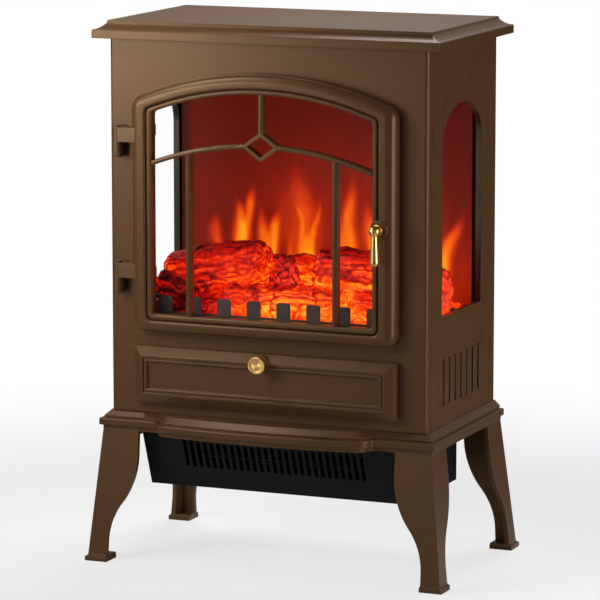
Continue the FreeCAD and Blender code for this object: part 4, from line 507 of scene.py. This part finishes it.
# the flames on the screen: foot and tip (x, height in mm), half width, level of light, sideways
# bow
flames = {
    "gridMm": 1.6,
    "tongues": [(-122, 316, -133, 362, 8, 0.62, 3), (-97, 318, -98, 370, 12, 0.84, 0),
                (-101, 324, -104, 384, 8, 0.72, -2), (-93, 324, -84, 398, 8, 0.72, 4),
                (-66, 298, -77, 366, 9, 0.78, -3), (-62, 298, -55, 370, 7, 0.8, 3),
                (-39, 312, -36, 350, 6, 0.64, 1), (-21, 316, -31, 418, 22, 0.62, 3),
                (-25, 322, -46, 398, 6, 0.73, -7), (-14, 322, -5, 390, 6, 0.73, 4),
                (-19, 312, -20, 356, 12, 0.79, 0), (-13, 316, -10, 368, 7, 0.78, 2),
                (24, 314, 39, 410, 11, 0.74, 5), (27, 314, 23, 378, 10, 0.8, -3),
                (56, 312, 47, 384, 10, 0.74, -4), (64, 310, 74, 402, 12, 0.74, 6),
                (92, 312, 86, 376, 11, 0.76, -5), (104, 312, 112, 406, 11, 0.74, 5),
                (132, 306, 126, 366, 9, 0.72, -3), (139, 300, 158, 376, 10, 0.74, 3)],
    "film": (0.23, 0.43), "redZ": (330, 500), "redLeft": 0.35, "redLeftX": (-120, -30),
    "edgeDark": 0.8, "edgeDarkX": (153, 168), "rightDark": 0.3, "rightDarkX": (110, 150),
    "rightDarkZ": (300, 380), "swayMm": (26, 42), "swayByMm": (6, 8), "flickMm": (15, 60),
    "flickFilm": 0.05, "flickFlame": 0.08, "girth": 1.6, "footRound": 0.12, "tipPoint": 1.12,
    "tipBend": 0.8, "softness": 2.6, "tipFade": (0.6, 1.1), "footGlow": 0.16, "footShare": 0.35,
    "reach": (-0.1, 1.1)}


def buildFlameFilm(look):
    low, high = (np.array(c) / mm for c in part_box("flame_screen"))
    columns = int((high[0] - low[0]) / look["gridMm"]) + 1
    rows = int((high[2] - low[2]) / look["gridMm"]) + 1
    across, upward = np.linspace(low[0], high[0], columns), np.linspace(low[2], high[2], rows)
    points = [(x * mm, y * mm, z * mm) for y in (low[1], high[1]) for z in upward for x in across]
    back = columns * rows
    faces = []
    for r in range(rows - 1):
        for c in range(columns - 1):
            here = r * columns + c
            faces.append((here, here + 1, here + columns + 1, here + columns))
            rear = back + here
            faces.append((rear, rear + columns, rear + columns + 1, rear + 1))
    rim = (list(range(columns)) + [r * columns + columns - 1 for r in range(1, rows)]
           + [(rows - 1) * columns + c for c in range(columns - 2, -1, -1)]
           + [r * columns for r in range(rows - 2, 0, -1)])
    for here, there in zip(rim, rim[1:] + rim[:1]):
        faces.append((here, back + here, back + there, there))
    x, z = np.meshgrid(across, upward)
    x, z = x.ravel(), z.ravel()
    (swayX, swayZ), (flickX, flickZ) = look["swayMm"], look["flickMm"]
    swaySlice, flickSlice, flickery = 3.0, 9.0, (0.8, 2.0, 3)  # where the noise is cut, its layers
    sway = np.array([noise.noise_vector((a / swayX, swaySlice, b / swayZ)) for a, b in zip(x, z)])
    flick = np.array([noise.fractal((a / flickX, flickSlice, b / flickZ), *flickery)
                      for a, b in zip(x, z)])
    wx, wz = x + look["swayByMm"][0] * sway[:, 0], z + look["swayByMm"][1] * sway[:, 2]
    red = (1 - smoothStep(*look["redZ"], z)) * (
        look["redLeft"] + (1 - look["redLeft"]) * smoothStep(*look["redLeftX"], x))
    film = np.interp(red, (0, 1), look["film"]) + look["flickFilm"] * flick * red
    film *= 1 - look["edgeDark"] * smoothStep(*look["edgeDarkX"], -x)  # no lamp at the left edge
    corner = smoothStep(*look["rightDarkX"], x) * smoothStep(*look["rightDarkZ"], z)
    film *= 1 - look["rightDark"] * corner  # nor behind the upper right
    lightLevel = film.copy()
    for footX, footZ, tipX, tipZ, width, level, bow in look["tongues"]:
        share = np.clip((wz - footZ) / (tipZ - footZ), *look["reach"])
        spine = footX + (tipX - footX) * share - bow * np.sin(math.pi * np.clip(share, 0, 1))
        girth = look["girth"] * width * np.sqrt(share + look["footRound"])
        girth = girth * (look["tipPoint"] - share) ** look["tipBend"] + 0.01  # never quite nothing
        body = np.exp(-(np.abs(wx - spine) / girth) ** look["softness"])
        body *= 1 - smoothStep(*look["tipFade"], share)
        peak = level + look["footGlow"] * (look["footShare"] - share) + look["flickFlame"] * flick
        lightLevel = np.maximum(lightLevel, film + (peak - film) * body)
    piece = newPiece("flame_picture", points, faces, flameFilm)
    setLightLevel(piece.data, np.clip(np.concatenate([lightLevel, lightLevel]), 0, 1))
    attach(piece, "stove")
    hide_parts("flame_screen")
    return piece


buildFlameFilm(flames)
print("flame screen made")

# floor, light and camera
studio = {"floor": "#f4f2ef", "second": "#f9f8f6", "grainMm": 40, "floorHalf": 6.0,
          "floorDrop": 0.0004, "shadowReach": (0.25, 1.1), "shadowSeen": (0.72, 1.0),
          "seen": 1.0, "ambient": 0.02, "skyShine": 1.0,
          "sky": [(0.0, "#000000"), (0.08, "#808080"), (0.3, "#8c8c8c"), (0.65, "#484848"),
                  (1.0, "#383838")]}


def buildStudio(look):
    half, z = look["floorHalf"], -look["floorDrop"]
    floorMaterial, tree = startMaterial("pale studio floor")
    place = addNode(tree, "TexCoord").outputs["Object"]
    reach = addNode(tree, "VectorMath", {"operation": "LENGTH"}, {0: place})
    fade = dict(enumerate((*look["shadowReach"], *look["shadowSeen"]), 1))
    away = addNode(tree, "MapRange", {"interpolation_type": "SMOOTHSTEP", **fade},
                   {0: reach.outputs["Value"]})
    path = addNode(tree, "LightPath")
    seen = addNode(tree, "Math", {"operation": "MAXIMUM"},
                   {0: path.outputs["Is Camera Ray"], 1: path.outputs["Is Transmission Ray"]})
    share = addNode(tree, "Math", {"operation": "MULTIPLY"},
                    {0: away.outputs[0], 1: seen.outputs[0]})
    grain = addNode(tree, "TexNoise", {"Scale": perMetre / look["grainMm"], "Detail": 3.0},
                    {"Vector": place})
    tone = addNode(tree, "Mix", {"data_type": "RGBA", 6: linear(look["floor"]),
                                 7: linear(look["second"])}, {0: grain.outputs[0]})
    matt = addNode(tree, "BsdfDiffuse", {}, {"Color": tone.outputs[2]})
    white = addNode(tree, "Emission", {"Strength": look["seen"]})
    mix = addNode(tree, "MixShader", {},
                  {0: share.outputs[0], 1: matt.outputs[0], 2: white.outputs[0]})
    addNode(tree, "OutputMaterial", {}, {"Surface": mix.outputs[0]})
    corners = [(-half, -half, z), (half, -half, z), (half, half, z), (-half, half, z)]
    floor = newPiece("studio_floor", corners, [(0, 1, 2, 3)], floorMaterial)

    world = bpy.data.worlds.new("white studio")
    bpy.context.scene.world = world
    world.use_nodes = True
    tree = world.node_tree
    tree.nodes.clear()
    path = addNode(tree, "LightPath")
    way = addNode(tree, "SeparateXYZ", {}, {0: addNode(tree, "TexCoord").outputs["Generated"]})
    band = addNode(tree, "ValToRGB", {"stops": look["sky"]}, {0: way.outputs["Z"]})
    dim = addNode(tree, "Math", {"operation": "MULTIPLY", 1: look["skyShine"]},
                  {0: band.outputs[0]})
    seen = addNode(tree, "Math", {"operation": "MAXIMUM"},
                   {0: path.outputs["Is Camera Ray"], 1: path.outputs["Is Transmission Ray"]})
    level = addNode(tree, "Mix", {"data_type": "FLOAT", 2: look["ambient"]},
                    {0: path.outputs["Is Glossy Ray"], 3: dim.outputs[0]})
    strength = addNode(tree, "Mix", {"data_type": "FLOAT", 3: look["seen"]},
                       {0: seen.outputs[0], 2: level.outputs[0]})
    sky = addNode(tree, "Background", {"Color": (1, 1, 1, 1)}, {"Strength": strength.outputs[0]})
    addNode(tree, "OutputWorld", {}, {"Surface": sky.outputs[0]})


buildStudio(studio)

lamps = {"left key": {"at": (-0.5, -0.65, 0.62), "aim": (-0.1, -0.1, 0.45), "size": (0.4, 0.4),
                      "watts": 1.5, "spread": 110},
         "left top": {"at": (-0.4, -0.3, 1.0), "aim": (-0.1, -0.05, 0.57), "size": (0.3, 0.3),
                      "watts": 0.4, "spread": 80},
         "front fill": {"at": (-0.62, -1.6, 0.28), "aim": (0, -0.1, 0.36), "size": (0.8, 0.5),
                        "watts": 0.5, "spread": 110},
         "right softbox": {"at": (1.6, 0.15, 0.6), "aim": (0, 0, 0.35), "size": (0.3, 1.0),
                           "watts": 2.2, "spread": 110},
         "right strip": {"at": (1.5, -0.3, 0.3), "aim": (0.1, 0, 0.3), "size": (0.3, 0.9),
                         "watts": 2.5, "spread": 110},
         "back softbox": {"at": (0.0, 0.45, 1.25), "aim": (-0.05, 0.0, 0.585), "size": (0.5, 0.5),
                          "watts": 2.1, "spread": 70}}


def turnTo(stand):  # lamps and cameras look along their own -Z
    return (Vector(stand["aim"]) - Vector(stand["at"])).to_track_quat("-Z", "Y").to_euler()


for name, lamp in lamps.items():
    light = bpy.data.lights.new(name, "AREA")
    light.shape = "RECTANGLE"
    light.size, light.size_y = lamp["size"]
    light.energy = lamp["watts"]
    light.spread = math.radians(lamp["spread"])
    holder = bpy.data.objects.new(name, light)
    holder.location = lamp["at"]
    holder.rotation_euler = turnTo(lamp)
    holder.visible_camera = False
    bpy.context.scene.collection.objects.link(holder)
print("floor, sky and lamps set")

view = {"at": (1.55805, -3.76691, 0.95177), "aim": (-0.004885, 0.0095, 0.279494), "lens": 229.83,
        "sensor": 36.0}
lens = bpy.data.cameras.new("photo camera")
lens.lens, lens.sensor_width = view["lens"], view["sensor"]
camera = bpy.data.objects.new("photo camera", lens)
camera.location = view["at"]
camera.rotation_euler = turnTo(view)
bpy.context.scene.collection.objects.link(camera)
bpy.context.scene.camera = camera
bpy.context.scene.view_settings.view_transform = "Standard"
